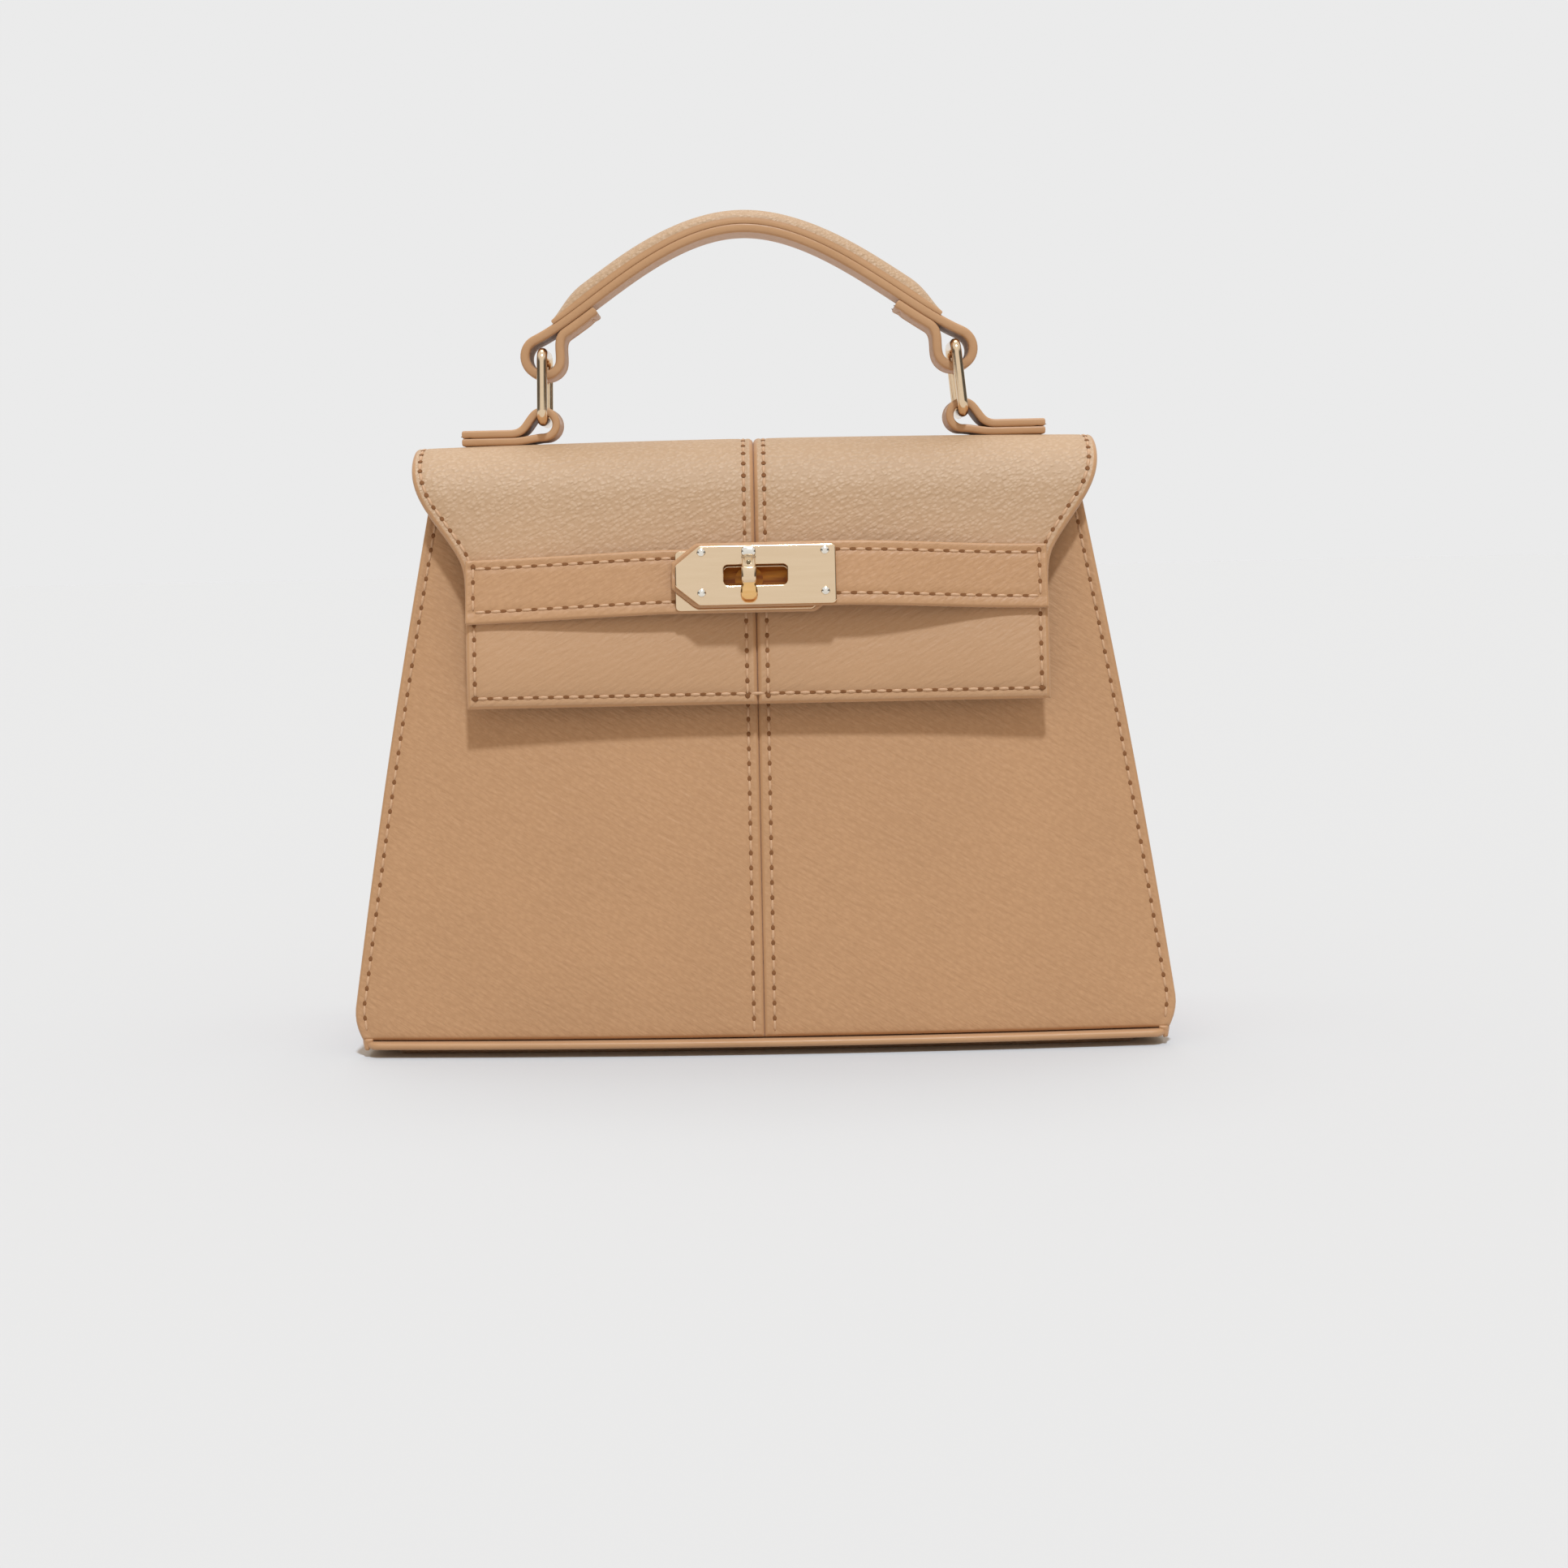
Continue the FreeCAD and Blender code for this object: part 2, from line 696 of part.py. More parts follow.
def closing_strap(label, end_side, height, drop):
    body = new_body(label)
    sketch = new_sketch(body, "XY_Plane")
    sewn = f"{end_side} * tongue_width / 2"
    lift = f"{end_side} * (tongue_width / 2 - strap_seat)"
    level = f"{end_side} * (plate_length / 2 + 3)"
    tip = f"{-end_side} * (plate_length / 2 + strap_margin)"
    top = f"-({height} + strap_leather)"
    outline(sketch, [
        (sewn, "0"),
        (sewn, "-strap_leather"),
        (lift, "-strap_leather"),
        (level, top),
        (tip, top),
        (tip, f"-{height}"),
        (level, f"-{height}"),
        (lift, "0"),
    ])
    pad(body, sketch, "strap_height", symmetric=True)
    shape = new_sketch(body, "XZ_Plane")
    rectangle(shape, "-slot_length / 2 - layer_gap", "slot_length / 2 + layer_gap",
              f"{drop} - slot_height / 2 - layer_gap", f"{drop} + slot_height / 2 + layer_gap")
    for up in (-1, 1):
        outline(shape, [
            (f"{tip} + {end_side} * plate_cut_length", f"{up} * (strap_height / 2 + 1)"),
            (f"{tip} + {end_side} * plate_cut_length", f"{up} * strap_height / 2"),
            (tip, f"{up} * (strap_height / 2 - plate_cut_height)"),
            (f"{tip} - {end_side}", f"{up} * (strap_height / 2 - plate_cut_height)"),
            (f"{tip} - {end_side}", f"{up} * (strap_height / 2 + 1)"),
        ])
    pocket(body, shape, True)
    rivets = new_sketch(body, "XZ_Plane")
    plate_rivet_circles(rivets, "plate_rivet_width / 2 + fit_clearance", "strap_hang")
    pocket(body, rivets, True)
    lay_on_flap(body, f"(lock_drop + {drop})")


def plate_rivet_circles(sketch, radius, lift="0"):
    for across in (-1, 1):
        for up in (-1, 1):
            height = f"{lift} + {up} * plate_rivet_rise / 2"
            circle(sketch, f"{across} * plate_rivet_span / 2", height, radius)


closing_strap("strap_left", -1, REAR_STRAP, "(rear_drop + strap_hang)")
closing_strap("strap_right", 1, FRONT_STRAP, "strap_hang")


# Lock plates: alike and turned end for end, with a pointed end, a slot and four rivet holes

def lock_plate(label, square_side, near, thickness, bevel, drop):
    body = new_body(label)
    sketch = new_sketch(body, "XZ_Plane", near)
    square = f"{square_side} * plate_length / 2"
    point = f"{-square_side} * plate_length / 2"
    shoulder = f"{-square_side} * (plate_length / 2 - plate_cut_length)"
    outline(sketch, [
        (square, "-plate_height / 2"),
        (square, "plate_height / 2"),
        (shoulder, "plate_height / 2"),
        (point, "plate_height / 2 - plate_cut_height"),
        (point, "plate_cut_height - plate_height / 2"),
        (shoulder, "-plate_height / 2"),
    ])
    plate = pad(body, sketch, thickness)
    if bevel:
        face = -value(f"{near} + {thickness}")
        rim = edge_names(plate, lambda point_on_edge: abs(point_on_edge.y - face) < 0.01)
        round_edges(body, plate, rim, bevel, "PartDesign::Chamfer")
    holes = new_sketch(body, "XZ_Plane")
    rectangle(holes, "-slot_length / 2", "slot_length / 2",
              f"{drop} - slot_height / 2", f"{drop} + slot_height / 2")
    plate_rivet_circles(holes, "plate_rivet_width / 2 + fit_clearance")
    pocket(body, holes, True)
    lay_on_flap(body, f"(lock_drop + {drop})")


lock_plate("rear_lock_plate", -1, REAR_PLATE, "rear_plate_sheet", None, "rear_drop")
lock_plate("front_lock_plate", 1, FRONT_PLATE, "front_plate_sheet", "plate_bevel", "0")


# Plate rivets: four in each plate, domed on the front plate and flush on the rear one

def plate_rivets(label, near, far, dome, drop):
    body = new_body(label)
    body.AllowCompound = True
    sketch = new_sketch(body, "XZ_Plane", near)
    plate_rivet_circles(sketch, "plate_rivet_width / 2")
    pins = pad(body, sketch, f"{far} - {near}")
    if dome:
        face = -value(far)
        rims = edge_names(pins, lambda point: abs(point.y - face) < 0.01)
        round_edges(body, pins, rims, dome)
    lay_on_flap(body, f"(lock_drop + {drop})")


REAR_PLATE_FACE = f"({REAR_PLATE} + rear_plate_sheet)"
plate_rivets("rear_plate_rivets", REAR_STRAP, REAR_PLATE_FACE, None, "rear_drop")
plate_rivets("front_plate_rivets", FRONT_STRAP, f"({PLATE_FACE} + rivet_dome)", "rivet_dome * 0.9", "0")


# Lock base on the flap's face with its bearing boss, the backing plate inside and their rivets

def lock_sheet(label, near, thickness):
    body = new_body(label)
    sketch = new_sketch(body, "XZ_Plane", near)
    rectangle(sketch, "-toggle_shift - lock_base_length / 2", "lock_base_length / 2 - toggle_shift",
              "-lock_base_height / 2", "lock_base_height / 2")
    pad(body, sketch, thickness)
    return body


def spindle_bore(body, with_rivets):
    sketch = new_sketch(body, "XZ_Plane", "-20")
    circle(sketch, "-toggle_shift", "0", "spindle_width / 2 + fit_clearance")
    if with_rivets:
        for end in (-1, 1):
            circle(sketch, f"-toggle_shift + {end} * lock_rivet_pitch / 2", "0",
                   "lock_rivet_width / 2 + fit_clearance")
    pocket(body, sketch, True)


lock_base = lock_sheet("lock_base", "0", "lock_base_sheet")
boss_sketch = new_sketch(lock_base, "XZ_Plane", "lock_base_sheet")
circle(boss_sketch, "-toggle_shift", "0", "spindle_width")
pad(lock_base, boss_sketch, "lock_boss_height - lock_base_sheet")
spindle_bore(lock_base, True)
lay_on_flap(lock_base, "lock_drop")

BACKING_BACK = f"(-{FLAP_THICKNESS} - lock_base_sheet)"
lock_backing = lock_sheet("lock_backing", BACKING_BACK, "lock_base_sheet")
spindle_bore(lock_backing, True)
lay_on_flap(lock_backing, "lock_drop")

lock_rivets = new_body("lock_rivets")
lock_rivets.AllowCompound = True
lock_rivet_sketch = new_sketch(lock_rivets, "XZ_Plane", BACKING_BACK)
for end in (-1, 1):
    circle(lock_rivet_sketch, f"-toggle_shift + {end} * lock_rivet_pitch / 2", "0", "lock_rivet_width / 2")
pad(lock_rivets, lock_rivet_sketch, f"lock_base_sheet - {BACKING_BACK}")
lay_on_flap(lock_rivets, "lock_drop")


# Toggle: a bowed bar with a hub, on a spindle that turns in the lock base, held by a washer

toggle = new_body("toggle")
bar_sketch = new_sketch(toggle, "YZ_Plane", "-toggle_shift")
bar_end = f"-({TOGGLE_BACK} + toggle_end)"
outline(bar_sketch, [
    (f"-{TOGGLE_BACK}", "-toggle_length / 2"),
    (f"-{TOGGLE_BACK}", "toggle_length / 2"),
    (bar_end, "toggle_length / 2"),
    (bar_end, "-toggle_length / 2", bow_radius("toggle_length / 2", "toggle_crown"), "left"),
])
bar = pad(toggle, bar_sketch, "toggle_width", symmetric=True)
back_face = -value(TOGGLE_BACK)
bar_rim = edge_names(bar, lambda point: point.y < back_face - 0.05)
round_edges(toggle, bar, bar_rim, "toggle_end * 0.6")
hub_sketch = new_sketch(toggle, "XZ_Plane", TOGGLE_BACK)
rectangle(hub_sketch, "-toggle_shift - toggle_width / 2", "toggle_width / 2 - toggle_shift",
          "-toggle_hub / 2", "toggle_hub / 2")
pad(toggle, hub_sketch, "toggle_end + toggle_crown + layer_gap")
lay_on_flap(toggle, "lock_drop")

WASHER_FACE = f"({BACKING_BACK} - layer_gap)"
SPINDLE_END = f"({WASHER_FACE} - lock_base_sheet)"
spindle = new_body("toggle_spindle")
spindle_sketch = new_sketch(spindle, "XZ_Plane", SPINDLE_END)
circle(spindle_sketch, "-toggle_shift", "0", "spindle_width / 2")
pad(spindle, spindle_sketch, f"{TOGGLE_BACK} - {SPINDLE_END}")
lay_on_flap(spindle, "lock_drop")

spindle_washer = new_body("spindle_washer")
spindle_washer_sketch = new_sketch(spindle_washer, "XZ_Plane", SPINDLE_END)
circle(spindle_washer_sketch, "-toggle_shift", "0", "spindle_washer / 2")
pad(spindle_washer, spindle_washer_sketch, "lock_base_sheet")
spindle_bore(spindle_washer, False)
lay_on_flap(spindle_washer, "lock_drop")


# Rings, tabs and handle: each ring hangs between the loop of a tab and the loop of the handle

TAB_LOOP_OUT = "(tab_loop / 2 + tab_leather)"
TAB_LOOP_Z = f"(crown_height + {TAB_LOOP_OUT})"
LOW_PIVOT_Z = f"({TAB_LOOP_Z} + tab_loop / 2 - ring_wire / 2 - ring_play)"
HIGH_PIVOT_Z = f"({LOW_PIVOT_Z} + ring_height)"


def wire_ring(label, side):
    """A rounded rectangle of wire in the plane of Y and Z."""
    body = new_body(label)
    path = new_sketch(body, "YZ_Plane", f"{side} * pivot_span / 2")
    reach = "(ring_depth / 2)"
    bend = "(ring_depth / 2 - ring_corner)"
    low_bend = f"({LOW_PIVOT_Z} + ring_corner)"
    high_bend = f"({HIGH_PIVOT_Z} - ring_corner)"
    outline(path, [
        (reach, low_bend, "ring_corner", "left"),
        (reach, high_bend),
        (bend, HIGH_PIVOT_Z, "ring_corner", "left"),
        (f"-{bend}", HIGH_PIVOT_Z),
        (f"-{reach}", high_bend, "ring_corner", "left"),
        (f"-{reach}", low_bend),
        (f"-{bend}", LOW_PIVOT_Z, "ring_corner", "left"),
        (bend, LOW_PIVOT_Z),
    ])
    wire = new_sketch(body, "XY_Plane", low_bend)
    circle(wire, f"{side} * pivot_span / 2", reach, "ring_wire / 2")
    sweep = body.newObject("PartDesign::AdditivePipe", f"{label}_wire")
    sweep.Profile = wire
    sweep.Spine = path
    doc.recompute()


wire_ring("ring_left", -1)
wire_ring("ring_right", 1)


# Tabs: a strip of leather folded round the ring's lower bar and sewn flat to the flap's top

def folded_tab(label, side):
    body = new_body(label)
    middle = f"{side} * pivot_span / 2"
    end = f"{side} * (pivot_span / 2 + tab_reach)"
    loop = new_sketch(body, "XZ_Plane")
    circle(loop, middle, TAB_LOOP_Z, TAB_LOOP_OUT)
    circle(loop, middle, TAB_LOOP_Z, "tab_loop / 2")
    pad(body, loop, "strap_width", symmetric=True)
    lower = new_sketch(body, "XZ_Plane")
    seat = "(crown_height + tab_leather)"
    outline(lower, [(middle, "crown_height"), (end, "crown_height"), (end, seat), (middle, seat)])
    pad(body, lower, "strap_width", symmetric=True)
    upper = new_sketch(body, "XZ_Plane")
    root = f"{side} * (pivot_span / 2 + tab_loop / 2 + tab_leather / 4)"
    over = f"({seat} + tab_leather)"
    shoulder = f"{side} * (pivot_span / 2 + {TAB_LOOP_OUT} + tab_leather)"
    outline(upper, [
        (root, seat),
        (end, seat),
        (end, over),
        (shoulder, over),
        (root, f"({over} + tab_leather)"),
    ])
    pad(body, upper, "strap_width", symmetric=True)


folded_tab("tab_left", -1)
folded_tab("tab_right", 1)


# Handle strap: an arch from ring to ring whose ends loop round the upper bars and fold back under

HANDLE_TOP = f"({HIGH_PIVOT_Z} + handle_rise)"
BEND_Z = f"({HANDLE_TOP} - handle_bend)"
LOOP_OUT = "(handle_loop / 2 + handle_leather)"
LOOP_Z = f"({HIGH_PIVOT_Z} + ring_wire / 2 + ring_play - handle_loop / 2)"
LOOP_DISTANCE = f"sqrt((pivot_span / 2) ^ 2 + ({LOOP_Z} - {BEND_Z}) ^ 2)"
SLOPE = (
    f"(atan2(pivot_span / 2; {LOOP_Z} - {BEND_Z})"
    f" - acos((handle_bend - {LOOP_OUT}) / {LOOP_DISTANCE}))"
)


def along_strap(run, height):
    """A point on the right flank: run up the strap from the loop's middle, height square to it."""
    return (
        f"(pivot_span / 2 - ({run}) * cos({SLOPE}) + ({height}) * sin({SLOPE}))",
        f"({LOOP_Z} + ({run}) * sin({SLOPE}) + ({height}) * cos({SLOPE}))",
    )


def on_bend(radius, angle):
    return (f"({radius}) * sin({angle})", f"{BEND_Z} + ({radius}) * cos({angle})")


handle_strap = new_body("handle_strap")
arch = new_sketch(handle_strap, "XZ_Plane")
under_bend = "(handle_bend - handle_leather)"
outline(arch, [
    ("0", HANDLE_TOP),
    on_bend("handle_bend", SLOPE) + ("handle_bend", "right"),
    along_strap("0", LOOP_OUT),
    along_strap("0", "handle_loop / 2"),
    on_bend(under_bend, SLOPE),
    ("0", f"{BEND_Z} + {under_bend}", under_bend, "left"),
])
arch_pad = pad(handle_strap, arch, "strap_width", symmetric=True)
loop = new_sketch(handle_strap, "XZ_Plane")
circle(loop, "pivot_span / 2", LOOP_Z, LOOP_OUT)
circle(loop, "pivot_span / 2", LOOP_Z, "handle_loop / 2")
loop_pad = pad(handle_strap, loop, "strap_width", symmetric=True)
tail = new_sketch(handle_strap, "XZ_Plane")
tail_over = "(handle_loop / 2 - fold_gap)"
tail_under = f"({tail_over} - handle_leather)"
tail_root = "(handle_loop / 2 + handle_leather / 2)"
outline(tail, [
    along_strap(tail_root, tail_over),
    along_strap("tail_length", tail_over),
    along_strap("tail_length", tail_under),
    along_strap(f"{LOOP_OUT} + handle_leather", tail_under),
    along_strap(tail_root, f"{tail_under} - handle_leather * 0.8"),
])
tail_pad = pad(handle_strap, tail, "strap_width", symmetric=True)
mirror(handle_strap, [arch_pad, loop_pad, tail_pad], "YZ_Plane")


# Padded top of the handle: a leather cover domed over a soft core, both along the strap's top face

def handle_path(body):
    path = new_sketch(body, "XZ_Plane")
    start = on_bend("handle_bend", SLOPE)
    outline(path, [
        ("0", HANDLE_TOP),
        start + ("handle_bend", "right"),
        (f"{start[0]} + cover_run * cos({SLOPE})", f"{start[1]} - cover_run * sin({SLOPE})"),
    ], closed=False)
    return path


def sweep_half(body, section):
    run = body.newObject("PartDesign::AdditivePipe", f"{body.Label}_run")
    run.Profile = section
    run.Spine = handle_path(body)
    doc.recompute()
    mirror(body, [run], "YZ_Plane")


COVER_HALF = "(strap_width / 2)"
CORE_HALF = "(strap_width / 2 - cover_leather * 1.5)"
CORE_DOME = "(cover_dome - cover_leather)"

handle_cover = new_body("handle_cover")
cover_section = new_sketch(handle_cover, "YZ_Plane")
outline(cover_section, [
    (f"-{CORE_HALF}", HANDLE_TOP),
    (CORE_HALF, HANDLE_TOP, bow_radius(CORE_HALF, CORE_DOME), "right"),
    (COVER_HALF, HANDLE_TOP),
    (f"-{COVER_HALF}", HANDLE_TOP, bow_radius(COVER_HALF, "cover_dome"), "left"),
])
sweep_half(handle_cover, cover_section)

handle_core = new_body("handle_core")
core_section = new_sketch(handle_core, "YZ_Plane")
outline(core_section, [
    (CORE_HALF, HANDLE_TOP),
    (f"-{CORE_HALF}", HANDLE_TOP, bow_radius(CORE_HALF, CORE_DOME), "left"),
])
sweep_half(handle_core, core_section)


# Every piece is checked before any file is written

doc.recompute()
for thing in doc.Objects:
    if "Invalid" in thing.State or "Error" in thing.State:
        raise RuntimeError(f"{thing.Label} failed: {thing.State}")
pieces = [thing for thing in doc.Objects if thing.TypeId == "PartDesign::Body"] + [hinge_fold]
for piece in pieces:
    if piece.Shape.isNull() or not piece.Shape.isValid() or not piece.Shape.Solids:
        raise RuntimeError(f"{piece.Label} has no valid solid")
os.makedirs("parts", exist_ok=True)
for piece in pieces:
    piece.Shape.exportStep(f"parts/{piece.Label}.step")
    print(f"{piece.Label}: {len(piece.Shape.Solids)} solid, {piece.Shape.Volume:.0f} mm3")
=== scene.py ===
"""The looks of a tan leather top handle bag: every piece, its material, the light and the view."""
import bisect
import math

import bmesh
import bpy
from mathutils import Matrix, Vector
from mathutils.geometry import interpolate_bezier


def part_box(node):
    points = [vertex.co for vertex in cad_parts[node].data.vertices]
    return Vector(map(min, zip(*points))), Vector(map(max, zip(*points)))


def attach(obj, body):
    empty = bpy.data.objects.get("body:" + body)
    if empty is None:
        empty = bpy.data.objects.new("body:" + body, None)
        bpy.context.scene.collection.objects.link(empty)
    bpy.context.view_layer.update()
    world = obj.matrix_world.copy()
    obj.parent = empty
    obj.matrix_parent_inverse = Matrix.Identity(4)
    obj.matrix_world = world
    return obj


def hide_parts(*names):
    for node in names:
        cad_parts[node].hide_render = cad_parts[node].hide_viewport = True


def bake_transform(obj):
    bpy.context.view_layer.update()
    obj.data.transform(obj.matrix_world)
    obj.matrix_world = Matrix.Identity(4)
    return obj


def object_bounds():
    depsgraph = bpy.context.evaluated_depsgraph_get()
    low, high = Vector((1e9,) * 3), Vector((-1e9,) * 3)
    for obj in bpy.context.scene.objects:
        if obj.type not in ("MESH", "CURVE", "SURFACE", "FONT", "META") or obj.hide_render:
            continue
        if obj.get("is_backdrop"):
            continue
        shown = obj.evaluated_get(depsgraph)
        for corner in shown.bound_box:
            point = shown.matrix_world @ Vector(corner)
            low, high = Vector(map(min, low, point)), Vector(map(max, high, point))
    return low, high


MM = 0.001
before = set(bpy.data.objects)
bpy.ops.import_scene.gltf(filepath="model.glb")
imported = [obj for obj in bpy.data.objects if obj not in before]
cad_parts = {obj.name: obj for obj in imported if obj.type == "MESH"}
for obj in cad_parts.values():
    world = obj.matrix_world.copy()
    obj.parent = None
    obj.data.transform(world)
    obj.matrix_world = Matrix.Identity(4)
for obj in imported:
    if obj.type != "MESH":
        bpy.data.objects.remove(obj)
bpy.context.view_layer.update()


# Leather
# Sheets are laid from flat cuts: a runs across and b along the cut in real lengths, and place says
# where each spot lies in the bag. Cut edges are rounded and seams are pressed into the outer face.

NUDGE = 0.2 * MM
GROOVE_DEPTH = 0.3 * MM
GROOVE_WIDTH = 0.8 * MM
EDGE_SHARE = 0.6
FLAT_SCALE = 10
SEAM_STEPS = 80


def smooth_share(share):
    share = max(0, min(share, 1))
    return share * share * (3 - 2 * share)


def edge_steps(rim, seam):
    """Distances from an edge that need points: close together on its round, then across its seam."""
    steps = [rim * share for share in (0, 0.04, 0.16, 0.36, 0.64, 1)]
    if seam:
        steps += [seam + GROOVE_WIDTH * share for share in (-1.4, -0.7, 0, 0.7, 1.4)]
    return sorted(steps)


def spread(low, high, low_steps, high_steps, count):
    """Places from one edge to the other: the steps of both edges, and even places between them."""
    shrink = min(1, 0.45 * (high - low) / max(low_steps[-1], high_steps[-1]))
    start = low + shrink * low_steps[-1]
    stop = high - shrink * high_steps[-1]
    middle = [start + (stop - start) * step / count for step in range(1, count)]
    return (
        [low + shrink * step for step in low_steps]
        + middle
        + [high - shrink * step for step in reversed(high_steps)]
    )


class Cut:
    """A flat-cut sheet: its side edges and ends, where it lies, and how thick and how sewn it is."""

    def __init__(self, edges, ends, place, thickness, rim, turn=1, seams=(0, 0, 0, 0), square=2, swell=None):
        self.edges = edges
        self.low, self.high = ends
        self.place = place
        self.thickness = thickness
        self.rim = rim
        self.turn = turn
        self.seams = seams
        self.square = square
        self.swell = swell

    def sides(self, b):
        """The side edges at b, and how much a distance square to each edge grows across the cut."""
        here = self.edges(b)
        ahead = self.edges(b + NUDGE)
        return here, [math.hypot(1, (far - near) / NUDGE) for near, far in zip(here, ahead)]

    def insets(self, a, b):
        """Distances from a spot to the left, right, low and high edge."""
        (left, right), (left_lean, right_lean) = self.sides(b)
        return (a - left) / left_lean, (right - a) / right_lean, b - self.low, self.high - b

    def spot(self, a, b):
        """The middle of the sheet at a flat spot, and the direction out of its face."""
        across = self.place(a + NUDGE, b) - self.place(a - NUDGE, b)
        along = self.place(a, b + NUDGE) - self.place(a, b - NUDGE)
        return self.place(a, b), across.cross(along).normalized() * self.turn

    def heights(self, a, b):
        """How far the outer and the inner face stand from the middle, and how far in the spot is."""
        insets = self.insets(a, b)
        share = max(0, min(min(insets) / self.rim, 1))
        half = self.thickness / 2 * (1 - (1 - share) ** self.square) ** (1 / self.square)
        outer = half
        for inset, seam in zip(insets, self.seams):
            if seam:
                outer -= share * GROOVE_DEPTH * math.exp(-(((inset - seam) / GROOVE_WIDTH) ** 2))
        if self.swell:
            outer += share * self.swell(a, b)
        return outer, half, share

    def mesh(self, name, across, along, materials):
        """A closed sheet; materials are for the outer face, the cut edges and the inner face."""
        left_steps, right_steps, low_steps, high_steps = [edge_steps(self.rim, seam) for seam in self.seams]
        rows = spread(self.low, self.high, low_steps, high_steps, along)
        points, flats, shares, outer, inner = [], [], [], [], []
        for row, b in enumerate(rows):
            columns = spread(*self.edges(b), left_steps, right_steps, across)
            outer.append([])
            inner.append([])
            for column, a in enumerate(columns):
                middle, out = self.spot(a, b)
                up, down, share = self.heights(a, b)
                outer[row].append(len(points))
                points.append(middle + out * up)
                if row in (0, len(rows) - 1) or column in (0, len(columns) - 1):
                    inner[row].append(outer[row][column])
                else:
                    inner[row].append(len(points))
                    points.append(middle - out * down)
                new = len(points) - len(flats)
                flats += [(a, b)] * new
                shares += [share] * new
        faces, kinds = [], []
        for row in range(len(rows) - 1):
            for column in range(len(outer[row]) - 1):
                for grid, turn, kind in ((outer, self.turn, 0), (inner, -self.turn, 2)):
                    near, far = grid[row], grid[row + 1]
                    face = [near[column], near[column + 1], far[column + 1], far[column]]
                    faces.append(face[::turn])
                    kinds.append(1 if sum(shares[index] for index in face) < 4 * EDGE_SHARE else kind)
        mesh = bpy.data.meshes.new(name)
        mesh.from_pydata(points, [], faces)
        for material in materials:
            mesh.materials.append(material)
        mesh.polygons.foreach_set("material_index", kinds)
        wear = mesh.attributes.new("wear", "FLOAT", "POINT")
        wear.data.foreach_set("value", [1 - share for share in shares])
        flat = mesh.uv_layers.new(name="flat")
        for loop in mesh.loops:
            flat.data[loop.index].uv = [FLAT_SCALE * length for length in flats[loop.vertex_index]]
        mesh.shade_smooth()
        return mesh

    def seam(self, side, start=0.0, stop=0.0):
        """Points and outward directions along the seam of an edge, kept clear of its two ends."""
        inset = self.seams[side]
        line = []
        for step in range(SEAM_STEPS + 1):
            share = step / SEAM_STEPS
            if side < 2:
                b = (self.low + start) * (1 - share) + (self.high - stop) * share
                edges, leans = self.sides(b)
                a = edges[side] + (1, -1)[side] * inset * leans[side]
            else:
                b = self.low + inset if side == 2 else self.high - inset
                left, right = self.edges(b)
                a = (left + start) * (1 - share) + (right - stop) * share
            middle, out = self.spot(a, b)
            line.append((middle + out * self.heights(a, b)[0], out))
        return line


def joined(first, second):
    """The first mesh with the second one's faces added."""
    form = bmesh.new()
    form.from_mesh(first)
    form.from_mesh(second)
    form.to_mesh(first)
    form.free()
    return first


def in_scene(name, data):
    """A new object in the scene."""
    made = bpy.data.objects.new(name, data)
    bpy.context.scene.collection.objects.link(made)
    return made


def add_piece(name, mesh, body, slot, *nodes):
    """A finished piece that rides on a body and stands in for nodes of the frame."""
    piece = in_scene(name, mesh)
    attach(piece, body)
    if nodes:
        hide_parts(*nodes)
    return piece


def add_sheet(name, cut, grid, layers, body, node, slot="tan_leather"):
    """A piece made of a cut, with so many steps across and along it."""
    return add_piece(name, cut.mesh(name, *grid, layers), body, slot, node)


def set_inputs(tree, node, inputs):
    """Sets a node's inputs to values, or links them to other nodes' outputs."""
    for name, given in inputs.items():
        if isinstance(given, bpy.types.NodeSocket):
            tree.links.new(given, node.inputs[name])
        else:
            node.inputs[name].default_value = given


def add_node(tree, kind, inputs=(), **settings):
    """A node with its settings and its inputs."""
    node = tree.nodes.new(kind)
    for name, setting in settings.items():
        setattr(node, name, setting)
    set_inputs(tree, node, dict(inputs))
    return node


def maths(tree, operation, first, second=0.0):
    return add_node(tree, "ShaderNodeMath", {0: first, 1: second}, operation=operation).outputs[0]


def ranged(tree, value, start=0.0, stop=1.0, low=0.0, high=1.0, **settings):
    """A value taken from the range of start and stop to that of low and high."""
    ends = {"From Min": start, "From Max": stop, "To Min": low, "To Max": high}
    return add_node(tree, "ShaderNodeMapRange", {"Value": value, **ends}, **settings).outputs[0]


def noise(tree, place, scale, detail):
    return add_node(tree, "ShaderNodeTexNoise", {"Vector": place, "Scale": scale, "Detail": detail}).outputs


def mixed(tree, share, first, second):
    """A colour between two, each a node's output or its red, green and blue."""
    ends = [end if isinstance(end, bpy.types.NodeSocket) else (*end, 1) for end in (first, second)]
    return add_node(tree, "ShaderNodeMix", {0: share, 6: ends[0], 7: ends[1]}, data_type="RGBA").outputs[2]


def bump(tree, height, distance, **inputs):
    inputs.update({"Height": height, "Distance": distance})
    return add_node(tree, "ShaderNodeBump", inputs).outputs["Normal"]


def new_group(name, kind, sockets):
    """A node group with its sockets, and its input and output nodes."""
    tree = bpy.data.node_groups.new(name, kind)
    for socket, way, socket_kind in sockets:
        tree.interface.new_socket(socket, in_out=way, socket_type=socket_kind)
    return tree, tree.nodes.new("NodeGroupInput"), tree.nodes.new("NodeGroupOutput")


def new_material(name):
    material = bpy.data.materials.new(name)
    material.use_nodes = True
    return material, material.node_tree, material.node_tree.nodes["Principled BSDF"]


CELL_STRETCH = (1.4, 1, 1)
STREAK_SIZE = (5 * MM, 1.1 * MM, 1.1 * MM)

